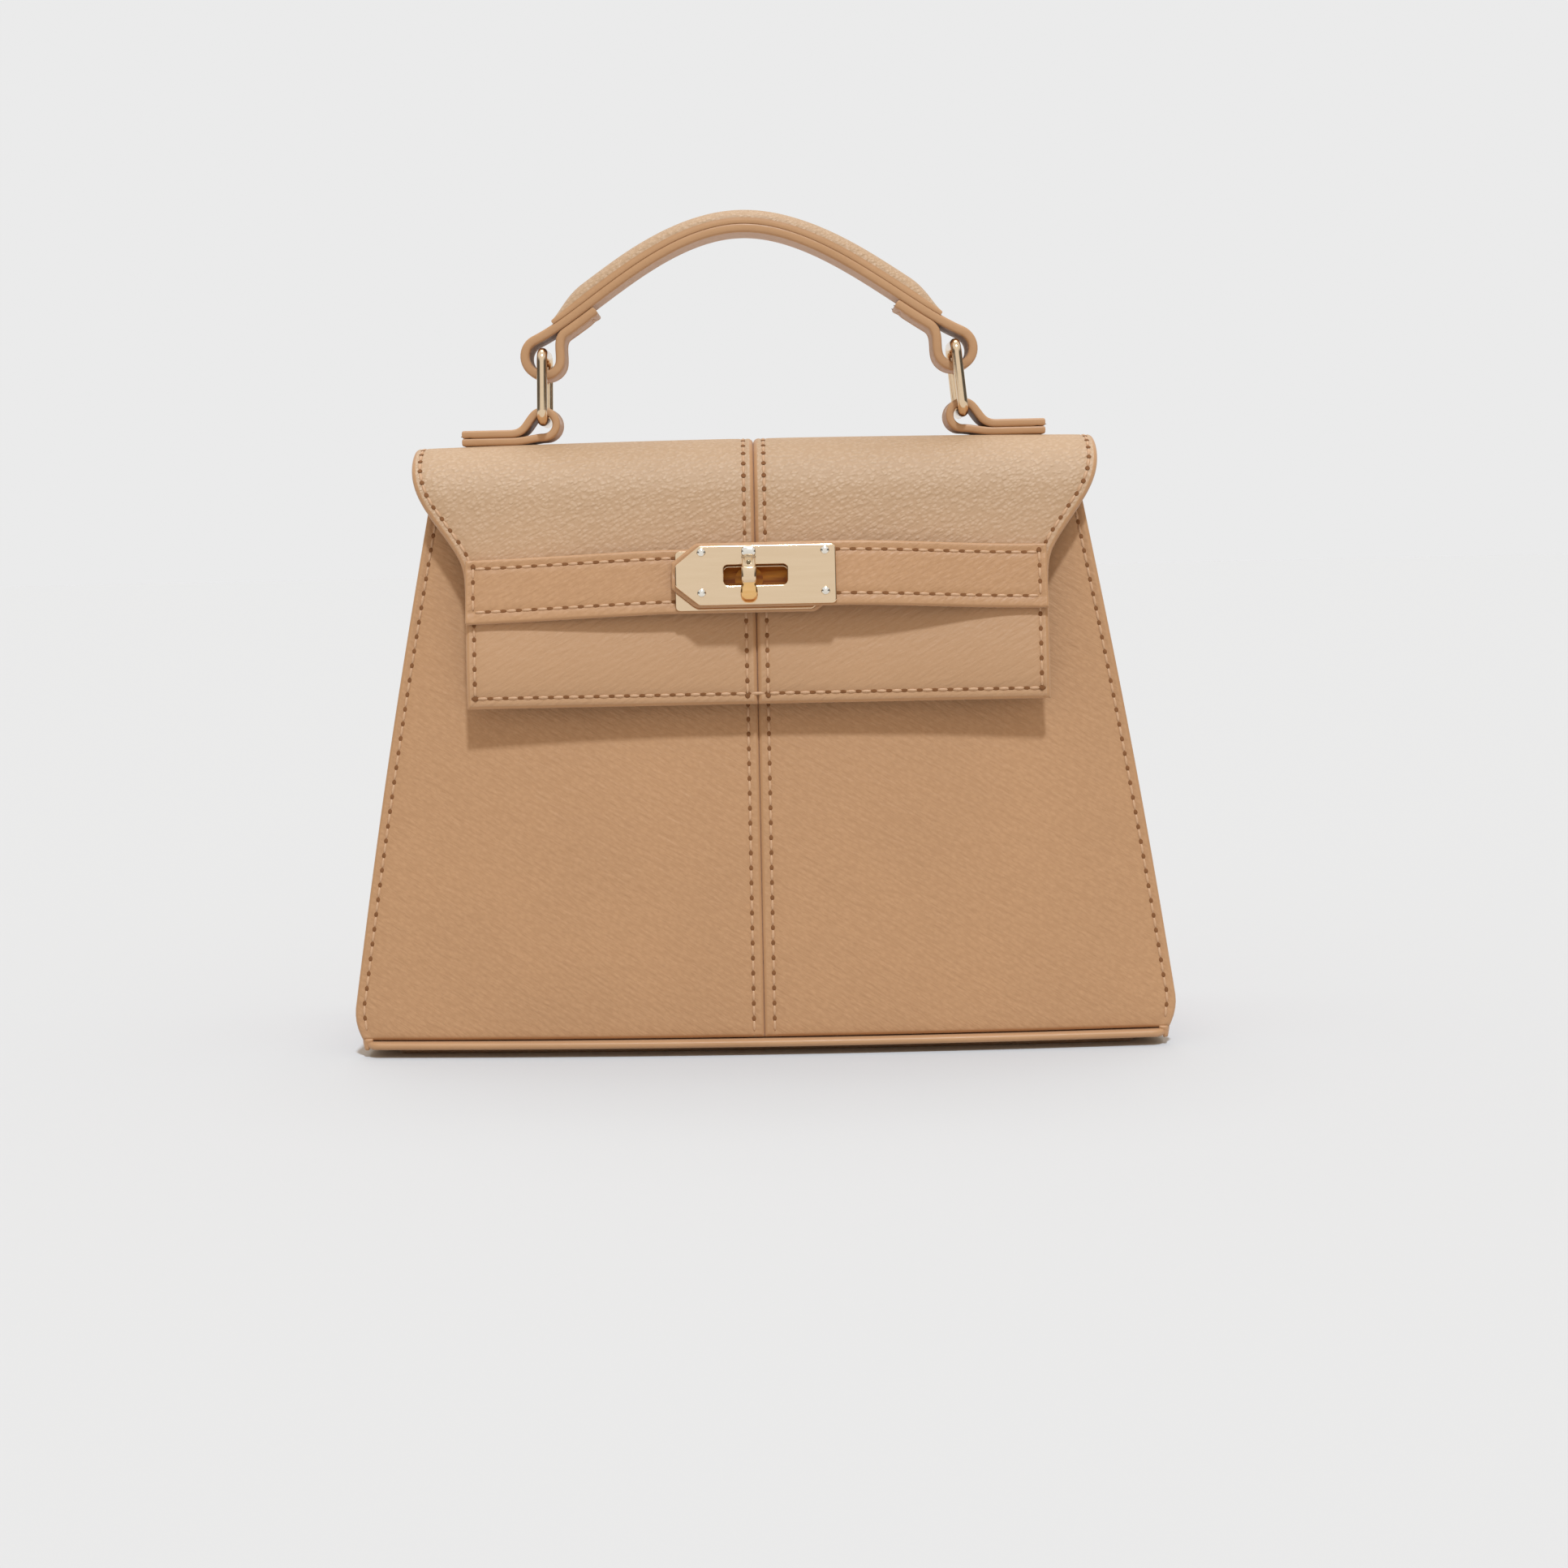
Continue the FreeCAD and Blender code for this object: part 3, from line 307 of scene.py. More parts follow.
grain_tree, grain_in, grain_out = new_group("leather_grain", "ShaderNodeTree", (
    ("Position", "INPUT", "NodeSocketVector"),
    ("Cell", "INPUT", "NodeSocketFloat"),
    ("Slant", "INPUT", "NodeSocketVector"),
    ("Pebbles", "OUTPUT", "NodeSocketFloat"),
    ("Streaks", "OUTPUT", "NodeSocketFloat"),
    ("Mottle", "OUTPUT", "NodeSocketFloat"),
))
grain_spot, grain_cell, grain_slant = [grain_in.outputs[name] for name in ("Position", "Cell", "Slant")]
grain_rate = maths(grain_tree, "DIVIDE", 1.0, grain_cell)
slanted_cells, slanted_streaks = [
    add_node(grain_tree, "ShaderNodeMapping", {
        "Vector": grain_spot,
        "Rotation": grain_slant,
        "Scale": size,
    }, vector_type="TEXTURE").outputs["Vector"]
    for size in (CELL_STRETCH, STREAK_SIZE)
]
grain_shift = add_node(grain_tree, "ShaderNodeVectorMath", {
    0: noise(grain_tree, grain_spot, grain_rate, 1.0)["Color"],
    "Scale": maths(grain_tree, "MULTIPLY", 0.5, grain_cell),
}, operation="SCALE")
grain_place = add_node(grain_tree, "ShaderNodeVectorMath", {
    0: slanted_cells,
    1: grain_shift.outputs[0],
}, operation="ADD")
grain_cells = add_node(grain_tree, "ShaderNodeTexVoronoi", {
    "Vector": grain_place.outputs[0],
    "Scale": grain_rate,
    "Smoothness": 0.35,
}, feature="SMOOTH_F1").outputs["Distance"]
set_inputs(grain_tree, grain_out, {
    "Pebbles": ranged(grain_tree, grain_cells, 0.75, 0.1, interpolation_type="SMOOTHSTEP"),
    "Streaks": noise(grain_tree, slanted_streaks, 1.0, 2.0)["Fac"],
    "Mottle": noise(grain_tree, grain_spot, 24.0, 3.0)["Fac"],
})


def leather(name, colour, crease, worn, cell, pebble, streak, slant, roughness, gloss=0.4, grain_and_sheen_fade=None):
    """Grained leather: pebble and streak are heights, creases are darker as painted shade in the grain's
    hollows, and rims are worn pale. Where it fades, the pebbles go and the colour turns to another between
    two levels of the bag: the paler colour above is painted sheen, the one below is plain."""
    material, tree, shader = new_material(name)
    place = add_node(tree, "ShaderNodeTexCoord").outputs["Object"]
    grain = add_node(tree, "ShaderNodeGroup", {
        "Position": place,
        "Cell": cell,
        "Slant": (0, math.radians(slant), 0),
    }, node_tree=grain_tree).outputs
    pebbles, mottle = grain["Pebbles"], grain["Mottle"]
    # The grain's hollows take the crease colour: painted shade.
    tone_with_painted_light = mixed(tree, pebbles, crease, colour)
    grain_and_sheen_share = 1.0
    # Between two heights the colour turns from the paler one with painted sheen to the plain colour below.
    if grain_and_sheen_fade:
        low, high, colour_below_sheen = grain_and_sheen_fade
        level = add_node(tree, "ShaderNodeSeparateXYZ", {0: place}).outputs["Z"]
        grain_and_sheen_share = ranged(tree, level, low, high, 0.1)
        tone_with_painted_light = mixed(tree, grain_and_sheen_share, colour_below_sheen, tone_with_painted_light)
    rim = add_node(tree, "ShaderNodeAttribute", attribute_name="wear").outputs["Fac"]
    toned = add_node(tree, "ShaderNodeVectorMath", {
        0: mixed(tree, maths(tree, "MULTIPLY", rim, mottle), tone_with_painted_light, worn),
        "Scale": ranged(tree, mottle, 0.3, 0.7, 0.97, 1.03),
    }, operation="SCALE")
    relief = bump(tree, pebbles, pebble, Strength=grain_and_sheen_share)
    set_inputs(tree, shader, {
        "Base Color": toned.outputs[0],
        "Roughness": ranged(tree, pebbles, low=roughness + 0.08, high=roughness),
        "Normal": bump(tree, grain["Streaks"], streak, Normal=relief),
        "Specular IOR Level": gloss,
        "Sheen Weight": 0.15,
        "Sheen Roughness": 0.5,
        "Sheen Tint": (1, 0.93, 0.87, 1),
    })
    return material


# The crease colours are darker for painted shade in the grain's hollows.
TAN = (0.5, 0.277, 0.137)
TAN_HOLLOW_SHADE = (0.465, 0.253, 0.122)
TAN_WORN = (0.55, 0.325, 0.17)
# The flap's and the handle cover's tan is paler and greyer for painted sheen from above; lower down the flap
# it turns to the tongue's plain tan.
TONGUE_TAN = (0.475, 0.252, 0.111)
FLAP_SHEEN_TAN = (0.5, 0.318, 0.174)
FLAP_HOLLOW_SHADE = (0.45, 0.275, 0.142)
PAINT = (0.46, 0.24, 0.108)
flap_grain = leather(
    "tan_pebbled", FLAP_SHEEN_TAN, FLAP_HOLLOW_SHADE, TAN_WORN, 1 * MM, 0.14 * MM, 0.22 * MM, -32, 0.6, gloss=1,
    grain_and_sheen_fade=(0.12, 0.156, TONGUE_TAN),
)
smooth_tan = leather("tan_smooth", TAN, TAN_HOLLOW_SHADE, TAN_WORN, 1.1 * MM, 0.01 * MM, 0.22 * MM, 32, 0.48)
strap_tan = leather("tan_strap", TAN, TAN_HOLLOW_SHADE, TAN_WORN, 1.1 * MM, 0.02 * MM, 0.24 * MM, -32, 0.48)
strip_tan = leather("tan_strip", TAN, TAN_HOLLOW_SHADE, TAN_WORN, 1.1 * MM, 0.02 * MM, 0.06 * MM, 0, 0.48)
edge_paint = leather("painted_edge", PAINT, PAINT, TAN_WORN, 2.5 * MM, 0.03 * MM, 0.03 * MM, 0, 0.4)
flesh_side = leather("flesh_side", PAINT, TAN_HOLLOW_SHADE, TAN_WORN, 0.5 * MM, 0.08 * MM, 0.08 * MM, 32, 0.85)
FLAP_LAYERS = (flap_grain, edge_paint, flesh_side)
SMOOTH_LAYERS = (smooth_tan, edge_paint, flesh_side)
STRAP_LAYERS = (strap_tan, edge_paint, flesh_side)
STRIP_LAYERS = (strip_tan, edge_paint, strip_tan)


def mottled(name, dark, light, scale, relief, roughness):
    """A dull material whose colour and surface vary with a fine noise."""
    material, tree, shader = new_material(name)
    place = add_node(tree, "ShaderNodeTexCoord").outputs["Object"]
    fleck = noise(tree, place, scale, 3.0)["Fac"]
    set_inputs(tree, shader, {
        "Base Color": mixed(tree, fleck, dark, light),
        "Normal": bump(tree, fleck, relief),
        "Roughness": roughness,
    })
    return material


# Stitches
# Waxed thread lies in the pressed seams and dives into a hole between one stitch and the next. Each hole
# is a dark disc of painted shade; on level rows it is long and also paints the thread's shadow.
# One node tree sews every row: it walks along the seam and sets a thread and a hole at each step.

STITCH_PITCH = 4.0 * MM
THREAD_SIZE = (3 * MM, 0.9 * MM, 0.75 * MM)
# Both hole sizes are dark discs of painted shade; the long ones on level rows also paint the thread's shadow.
ROUND_HOLE_SHADE = (1.5 * MM, 1.4 * MM, 0.3 * MM)
LONG_HOLE_SHADE = (2.2 * MM, 1.15 * MM, 0.3 * MM)

thread = mottled("waxed_thread", (0.48, 0.27, 0.14), (0.64, 0.4, 0.235), 1500.0, 0.05 * MM, 0.5)
painted_hole_shade = mottled("painted_hole_shade", (0.16, 0.06, 0.016), (0.26, 0.105, 0.032), 900.0, 0.05 * MM, 0.9)

stitch_tree, stitch_in, stitch_out = new_group("stitch_rows", "GeometryNodeTree", (
    ("Seam", "INPUT", "NodeSocketGeometry"),
    ("Pitch", "INPUT", "NodeSocketFloat"),
    ("Thread Size", "INPUT", "NodeSocketVector"),
    ("Thread Offset", "INPUT", "NodeSocketVector"),
    ("Thread Material", "INPUT", "NodeSocketMaterial"),
    ("Hole Size", "INPUT", "NodeSocketVector"),
    ("Hole Offset", "INPUT", "NodeSocketVector"),
    ("Hole Material", "INPUT", "NodeSocketMaterial"),
    ("Stitches", "OUTPUT", "NodeSocketGeometry"),
))
seam_line = add_node(stitch_tree, "GeometryNodeMeshToCurve", {"Mesh": stitch_in.outputs["Seam"]})
seam_steps = add_node(stitch_tree, "GeometryNodeResampleCurve", {
    "Curve": seam_line.outputs["Curve"],
    "Length": stitch_in.outputs["Pitch"],
}, mode="LENGTH")
seam_out = add_node(stitch_tree, "GeometryNodeInputNamedAttribute", {
    "Name": "outward",
}, data_type="FLOAT_VECTOR")
stitch_up = add_node(stitch_tree, "FunctionNodeAlignRotationToVector", {
    "Vector": seam_out.outputs["Attribute"],
}, axis="Z")
seam_way = add_node(stitch_tree, "GeometryNodeInputTangent")
stitch_turn = add_node(stitch_tree, "FunctionNodeAlignRotationToVector", {
    "Rotation": stitch_up.outputs["Rotation"],
    "Vector": seam_way.outputs["Tangent"],
}, axis="X", pivot_axis="Z")
stitch_ball = add_node(stitch_tree, "GeometryNodeMeshUVSphere", {"Segments": 10, "Rings": 6, "Radius": 0.5})
stitch_smooth = add_node(stitch_tree, "GeometryNodeSetShadeSmooth", {"Geometry": stitch_ball.outputs["Mesh"]})
stitch_join = add_node(stitch_tree, "GeometryNodeJoinGeometry")
for part in ("Thread", "Hole"):
    shape = add_node(stitch_tree, "GeometryNodeTransform", {
        "Geometry": stitch_smooth.outputs["Geometry"],
        "Translation": stitch_in.outputs[f"{part} Offset"],
        "Scale": stitch_in.outputs[f"{part} Size"],
    })
    row = add_node(stitch_tree, "GeometryNodeInstanceOnPoints", {
        "Points": seam_steps.outputs["Curve"],
        "Instance": shape.outputs["Geometry"],
        "Rotation": stitch_turn.outputs["Rotation"],
    })
    real = add_node(stitch_tree, "GeometryNodeRealizeInstances", {"Geometry": row.outputs["Instances"]})
    coloured = add_node(stitch_tree, "GeometryNodeSetMaterial", {
        "Geometry": real.outputs["Geometry"],
        "Material": stitch_in.outputs[f"{part} Material"],
    })
    stitch_tree.links.new(coloured.outputs["Geometry"], stitch_join.inputs["Geometry"])
stitch_tree.links.new(stitch_join.outputs["Geometry"], stitch_out.inputs["Stitches"])


def evaluated(name, data, add_modifier=None):
    """The mesh that a guide makes, with its modifier if it has one."""
    guide = in_scene(f"{name}_guide", data)
    if add_modifier:
        add_modifier(guide)
    graph = bpy.context.evaluated_depsgraph_get()
    made = bpy.data.meshes.new_from_object(guide.evaluated_get(graph), depsgraph=graph)
    made.name = name
    bpy.data.objects.remove(guide)
    return made


def sew(name, body, *lines, hole=ROUND_HOLE_SHADE):
    """Stitches along seam lines, riding on a body."""
    points, outward, edges = [], [], []
    for line in lines:
        edges += [(len(points) + step, len(points) + step + 1) for step in range(len(line) - 1)]
        for point, out in line:
            points.append(point)
            outward.extend(out)
    guide = bpy.data.meshes.new(f"{name}_seams")
    guide.from_pydata(points, edges, [])
    guide.attributes.new("outward", "FLOAT_VECTOR", "POINT").data.foreach_set("vector", outward)
    values = {
        "Pitch": STITCH_PITCH,
        "Thread Size": THREAD_SIZE,
        "Thread Offset": (0, 0, 0.02 * MM),
        "Thread Material": thread,
        "Hole Size": hole,
        "Hole Offset": (STITCH_PITCH / 2, 0, 0.03 * MM),
        "Hole Material": painted_hole_shade,
    }

    def add_stitches(seams):
        modifier = seams.modifiers.new("sew", "NODES")
        modifier.node_group = stitch_tree
        for socket in stitch_tree.interface.items_tree:
            if socket.name in values:
                modifier[socket.identifier] = values[socket.name]

    return add_piece(name, evaluated(name, guide, add_stitches), body, "tan_leather")


# Base panel
# One sheet under the bag whose rim stands out as a thin lip and curls up off the floor.

base_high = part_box("base_panel")[1]
FLOOR_LEATHER = base_high.z
RIM_LEATHER = 2 * MM
BODY_BOW = 5 * MM
BASE_CORNER = 4 * MM
BASE_HALF = base_high.x - 1.2 * MM
BASE_DEPTH = base_high.y
RIM_CURL = 2.3 * MM
RIM_FLAT = 6 * MM
RIM_RUN = 3 * MM
FOOT = RIM_CURL + RIM_LEATHER + 0.3 * MM


def base_edges(b):
    past = max(0, abs(b) - (BASE_DEPTH - BASE_CORNER))
    half = BASE_HALF - BASE_CORNER + math.sqrt(max(0, BASE_CORNER ** 2 - past ** 2))
    return -half, half


def base_place(a, b):
    bow = BODY_BOW * (a / base_high.x) ** 2
    inset = min(BASE_HALF - abs(a), BASE_DEPTH - abs(b))
    curl = RIM_CURL * smooth_share(1 - (inset - RIM_FLAT) / RIM_RUN)
    return Vector((a, b * (1 - bow / BASE_DEPTH), RIM_LEATHER / 2 + curl))


base_cut = Cut(
    base_edges, (-BASE_DEPTH, BASE_DEPTH), base_place, RIM_LEATHER, 1.2 * MM, turn=-1, square=2.3,
)
add_sheet("base_sheet", base_cut, (80, 60), SMOOTH_LAYERS, "bag_body", "base_panel")


# Front and back panels
# Two halves each, meeting in a seam with a row of stitches on either side. They bow out at the foot,
# are a little fuller below the middle, and tuck in at their lower corners.

SIDES = (("left", -1), ("right", 1))
FRONT_TOP = 153.2 * MM
BACK_TOP = 150.46 * MM
FACES = (("front", -1, FRONT_TOP), ("back", 1, BACK_TOP))
FOOT_HALF = 113.65 * MM
MOUTH_HALF = 90 * MM
FOOT_DEPTH = 40 * MM
MOUTH_DEPTH = 19 * MM
PANEL_LEATHER = 2.2 * MM
PANEL_FULLNESS = 2.6 * MM
CORNER_TUCK = 3.2 * MM
CORNER_HEIGHT = 9 * MM
SIDE_FULLNESS = 1.1 * MM


def rise(height):
    return (height - FLOOR_LEATHER) / (FRONT_TOP - FLOOR_LEATHER)


def half_width(height):
    return FOOT_HALF + (MOUTH_HALF - FOOT_HALF) * rise(height)


def edge_depth(height):
    return FOOT_DEPTH + (MOUTH_DEPTH - FOOT_DEPTH) * rise(height)


def lay_panel(side, face, top):
    """The cut of a panel half: side is -1 on the left, face is -1 at the front."""

    def edges(b):
        tuck = CORNER_TUCK * max(0, 1 - (b - FOOT) / CORNER_HEIGHT) ** 2
        return 0, half_width(b) - tuck + SIDE_FULLNESS * math.sin(math.pi * rise(b))

    def place(a, b):
        up = rise(b)
        share = a / half_width(b)
        bow = BODY_BOW * (1 - up) * (1 - share ** 2)
        full = PANEL_FULLNESS * math.sin(math.pi * up) * (1 - up) * (1 - share ** 4)
        return Vector((side * a, face * (edge_depth(b) + bow + full - PANEL_LEATHER / 2), b))

    seams = (2.8 * MM, 2.6 * MM, 0, 2.6 * MM)
    return Cut(edges, (FOOT, top), place, PANEL_LEATHER, 1.3 * MM, turn=-side * face, seams=seams)


for face_name, face, top in FACES:
    rows = []
    for side_name, side in SIDES:
        cut = lay_panel(side, face, top)
        piece_name = f"{face_name}_{side_name}_leather"
        add_sheet(piece_name, cut, (30, 80), SMOOTH_LAYERS, "bag_body", f"{face_name}_panel_{side_name}")
        rows += [
            cut.seam(0, 3 * MM, 5 * MM),
            cut.seam(1, 4 * MM, 5 * MM),
            cut.seam(3, 5 * MM, 5 * MM),
        ]
    sew(f"{face_name}_panel_stitches", "bag_body", *rows)


# Corner folds
# At the foot of each corner the panel, the side and the base are pinched into a small folded tip.

FOLD_HALF = 1.5 * MM
FOLD_RISE = 3.2 * MM
FOLD_FOOT = 1.9 * MM
FOLD_INSET = 1.4 * MM
FOLD_SETBACK = 0.8 * MM
FOLD_REACH = 0.9 * MM
FOLD_SLOPE = 0.7
FOLD_TURN = 1.8


def lay_corner(side, face):
    foot_half = half_width(FOOT) - CORNER_TUCK - FOLD_INSET
    foot = Vector((side * foot_half, face * (edge_depth(FOOT) - FOLD_SETBACK), FOLD_FOOT))
    out = Vector((side, face * FOLD_TURN, 0)).normalized()
    across = Vector((0, 0, 1)).cross(out)

    def edges(b):
        half = FOLD_HALF * min(1, 0.3 + b / (3 * MM))
        return -half, half

    def place(a, b):
        return foot + across * a + out * (FOLD_REACH - FOLD_SLOPE * abs(a)) + Vector((0, 0, b))

    return Cut(edges, (0, FOLD_RISE), place, 1.2 * MM, 0.5 * MM)


corner_mesh = bpy.data.meshes.new("corner_folds")
for side in (-1, 1):
    for face in (-1, 1):
        joined(corner_mesh, lay_corner(side, face).mesh("corner_fold", 8, 8, SMOOTH_LAYERS))
for material in SMOOTH_LAYERS:
    corner_mesh.materials.append(material)
add_piece("corner_folds", corner_mesh, "bag_body", "tan_leather")


# Side gussets
# Thin leather sides that fold inward along a soft crease, more at the top than at the foot.

GUSSET_TOP = 148.46 * MM
GUSSET_LEATHER = 1.4 * MM
GUSSET_INSET = 2.5 * MM
GUSSET_SETBACK = 1.8 * MM
CREASE_DEPTH = 9 * MM
CREASE_SOFTNESS = 0.25


def gusset_rise(height):
    return (height - FLOOR_LEATHER) / (GUSSET_TOP - FLOOR_LEATHER)


def gusset_edge(height):
    return half_width(height) - GUSSET_INSET * (2 - gusset_rise(height))


def gusset_crease(height):
    return CREASE_DEPTH * (0.1 + 0.9 * gusset_rise(height))


def soft_fold(share):
    """1 at the crease and 0 at the edges of the fold, rounded where it turns."""
    end = math.hypot(1, CREASE_SOFTNESS)
    return (end - math.hypot(share, CREASE_SOFTNESS)) / (end - CREASE_SOFTNESS)


def lay_gusset(side):
    def edges(b):
        half = edge_depth(b) - GUSSET_SETBACK
        return -half, half

    def place(a, b):
        fold = gusset_crease(b) * soft_fold(a / edges(b)[1])
        return Vector((side * (gusset_edge(b) - fold - GUSSET_LEATHER / 2), a, b))

    return Cut(edges, (FOOT, GUSSET_TOP), place, GUSSET_LEATHER, 0.7 * MM, turn=side)


for side_name, side in SIDES:
    piece_name = f"side_{side_name}_leather"
    add_sheet(piece_name, lay_gusset(side), (30, 30), SMOOTH_LAYERS, "bag_body", f"gusset_{side_name}")


# Lining, facings and inner pocket
# A woven cloth box with a slip pocket, under leather facings along the mouth.

LINING_FLOOR = 4 * MM
LINING_TOP = 126.46 * MM
LINING_CLOTH = 0.8 * MM
LINING_SETBACK = 2.1 * MM
LINING_INSET = 1.7 * MM
POCKET_SETBACK = 3.4 * MM
WEAVE_PITCH = 0.7 * MM
FACING_LEATHER = 1.2 * MM
FACING_INSET = 5.9 * MM
FACING_SETBACK = 2.5 * MM

lining_cloth, cloth_nodes, cloth_shader = new_material("woven_lining")
cloth_flat = add_node(cloth_nodes, "ShaderNodeUVMap", uv_map="flat")
weave = [
    add_node(cloth_nodes, "ShaderNodeTexWave", {
        "Vector": cloth_flat.outputs["UV"],
        "Scale": 1 / FLAT_SCALE / WEAVE_PITCH / math.tau,
        "Distortion": 0.6,
    }, bands_direction=way).outputs["Fac"]
    for way in ("X", "Y")
]
weave_height = maths(cloth_nodes, "MAXIMUM", *weave)
set_inputs(cloth_nodes, cloth_shader, {
    "Base Color": mixed(cloth_nodes, weave_height, (0.16, 0.085, 0.045), (0.33, 0.2, 0.115)),
    "Normal": bump(cloth_nodes, weave_height, 0.1 * MM),
    "Roughness": 0.9,
    "Sheen Weight": 0.2,
})
CLOTH = (lining_cloth,) * 3


def lining_corners(height):
    """The lining's section, counter-clockwise from its back left corner."""
    depth = edge_depth(height) - LINING_SETBACK - LINING_CLOTH / 2
    side = gusset_edge(height) - LINING_INSET - LINING_CLOTH / 2
    fold = side - gusset_crease(height)
    left_side = ((-side, depth), (-fold, 0), (-side, -depth))
    right_side = ((side, -depth), (fold, 0), (side, depth))
    return [Vector((x, y, height)) for x, y in (*left_side, *right_side, left_side[0])]


def lining_girth(height):
    corners = lining_corners(height)
    return sum((far - near).length for near, far in zip(corners, corners[1:]))


def lining_place(a, b):
    corners = lining_corners(b)
    left = a
    for near, far in zip(corners, corners[1:]):
        length = (far - near).length
        if left <= length or far is corners[-1]:
            return near + (far - near) * (left / length)
        left -= length


def floor_edges(b):
    corners = lining_corners(LINING_FLOOR)
    half = corners[4].x + (corners[5].x - corners[4].x) * abs(b) / corners[5].y
    return -half, half


def floor_place(a, b):
    return Vector((a, b, LINING_FLOOR + LINING_CLOTH / 2))


wall_cut = Cut(
    lambda b: (0, lining_girth(b)), (LINING_FLOOR, LINING_TOP), lining_place, LINING_CLOTH, 0.4 * MM,
)
floor_depth = lining_corners(LINING_FLOOR)[0].y
floor_cut = Cut(floor_edges, (-floor_depth, floor_depth), floor_place, LINING_CLOTH, 0.4 * MM)
lining_mesh = joined(
    wall_cut.mesh("cloth_walls", 150, 24, CLOTH),
    floor_cut.mesh("cloth_floor", 20, 10, CLOTH),
)
add_piece("cloth_lining", lining_mesh, "bag_body", "lining_cloth", "lining")


def lay_facing(face, top):
    def edges(b):
        half = half_width(b) - FACING_INSET
        return -half, half

    def place(a, b):
        return Vector((a, face * (edge_depth(b) - FACING_SETBACK), b))

    ends = (LINING_TOP + 0.3 * MM, top)
    return Cut(edges, ends, place, FACING_LEATHER, 0.6 * MM, turn=face, seams=(0, 0, 2.4 * MM, 0))


for face_name, face, top in FACES:
    cut = lay_facing(face, top)
    piece_name = f"{face_name}_mouth_leather"
    add_sheet(piece_name, cut, (40, 8), SMOOTH_LAYERS, "bag_body", f"{face_name}_facing")
    sew(f"{face_name}_mouth_stitches", "bag_body", cut.seam(2, 4 * MM, 4 * MM))


def pocket_place(a, b):
    return Vector((a, edge_depth(b) - POCKET_SETBACK, b))


pocket_low, pocket_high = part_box("inner_pocket")
pocket_cut = Cut(
    lambda b: (-pocket_high.x, pocket_high.x), (pocket_low.z, pocket_high.z), pocket_place,
    LINING_CLOTH, 0.4 * MM, seams=(2.5 * MM,) * 4,
)
add_sheet("slip_pocket", pocket_cut, (20, 12), CLOTH, "bag_body", "inner_pocket", "lining_cloth")
sew("slip_pocket_stitches", "bag_body", *[pocket_cut.seam(side, 3 * MM, 3 * MM) for side in range(4)])


# Flap
# Two halves over a filler: a short back wall, a rounded top and a front with wings and a tongue.
# A suede lining closes the inside.

FLAP_BACK = 19 * MM
FLAP_FOOT = 154 * MM
CROWN = 167.2 * MM
BACK_BEND = 11 * MM
FRONT_BEND = 20 * MM
FLAP_TILT = math.radians(13.482)
FLAP_LEATHER = 3 * MM
TOP_RUN = 14.93 * MM
FRONT_RUN = 58.4 * MM
WALL_END = CROWN - BACK_BEND - FLAP_FOOT
BACK_BEND_END = WALL_END + BACK_BEND * math.pi / 2
TOP_END = BACK_BEND_END + TOP_RUN
FRONT_BEND_END = TOP_END + FRONT_BEND * (math.pi / 2 - FLAP_TILT)
FLAP_END = FRONT_BEND_END + FRONT_RUN
WING_HALF = 95 * MM
TONGUE_HALF = 79.4 * MM
TONGUE_TOP = 134.56 * MM
WING_LOW = 164.2 * MM
WING_ROUND = 27 * MM
WING_TURN = math.radians(37.2)
INNER_CORNER = 3 * MM
CROWN_ARCH = 1 * MM
TUCK_RUN = 26 * MM
TONGUE_TUCK = 3 * MM


def flap_section(b, depth):
    """A point of the flap's section: b along its outer face from the back edge, depth under it."""
    if b < WALL_END:
        return FLAP_BACK - depth, FLAP_FOOT + b
    if b < BACK_BEND_END:
        angle = (b - WALL_END) / BACK_BEND
        radius = BACK_BEND - depth
        return FLAP_BACK - BACK_BEND + radius * math.cos(angle), CROWN - BACK_BEND + radius * math.sin(angle)
    top_y = FLAP_BACK - BACK_BEND - (min(b, TOP_END) - BACK_BEND_END)
    if b < TOP_END:
        return top_y, CROWN - depth
    angle = math.pi / 2 + (min(b, FRONT_BEND_END) - TOP_END) / FRONT_BEND
    radius = FRONT_BEND - depth
    run = max(0, b - FRONT_BEND_END)
    return (
        top_y + radius * math.cos(angle) - run * math.sin(FLAP_TILT),
        CROWN - FRONT_BEND + radius * math.sin(angle) - run * math.cos(FLAP_TILT),
    )


def flap_half(b):
    """Half the flap's width: full at the top, then rounded wings that run in to the tongue."""
    height = flap_section(b, 0)[1] if b > TOP_END else CROWN
    drop = max(0, WING_LOW - height)
    arc_drop = WING_ROUND * math.sin(WING_TURN)
    if drop < arc_drop:
        return WING_HALF - WING_ROUND + math.sqrt(WING_ROUND ** 2 - drop ** 2)
    arc_half = WING_HALF - WING_ROUND + WING_ROUND * math.cos(WING_TURN)
    share = (drop - arc_drop) / (WING_LOW - arc_drop - TONGUE_TOP)
    above = (arc_half - TONGUE_HALF) * (1 - share)
    corner = (above + math.hypot(above, INNER_CORNER)) / 2
    return TONGUE_HALF + corner - INNER_CORNER ** 2 / 4 / (above + arc_half)


def flap_place(x, b, depth):
    """A spot of the flap: its top is arched a little, and the tongue's end tucks in to the panel."""
    y, z = flap_section(b, depth)
    arch = CROWN_ARCH * (0.55 - (x / WING_HALF) ** 2)
    on_top = math.sin(math.pi * max(0, min(b / FRONT_BEND_END, 1))) ** 2
    tuck = TONGUE_TUCK * max(0, 1 - (FLAP_END - b) / TUCK_RUN) ** 3
    return Vector((x, y + tuck, z + arch * on_top))


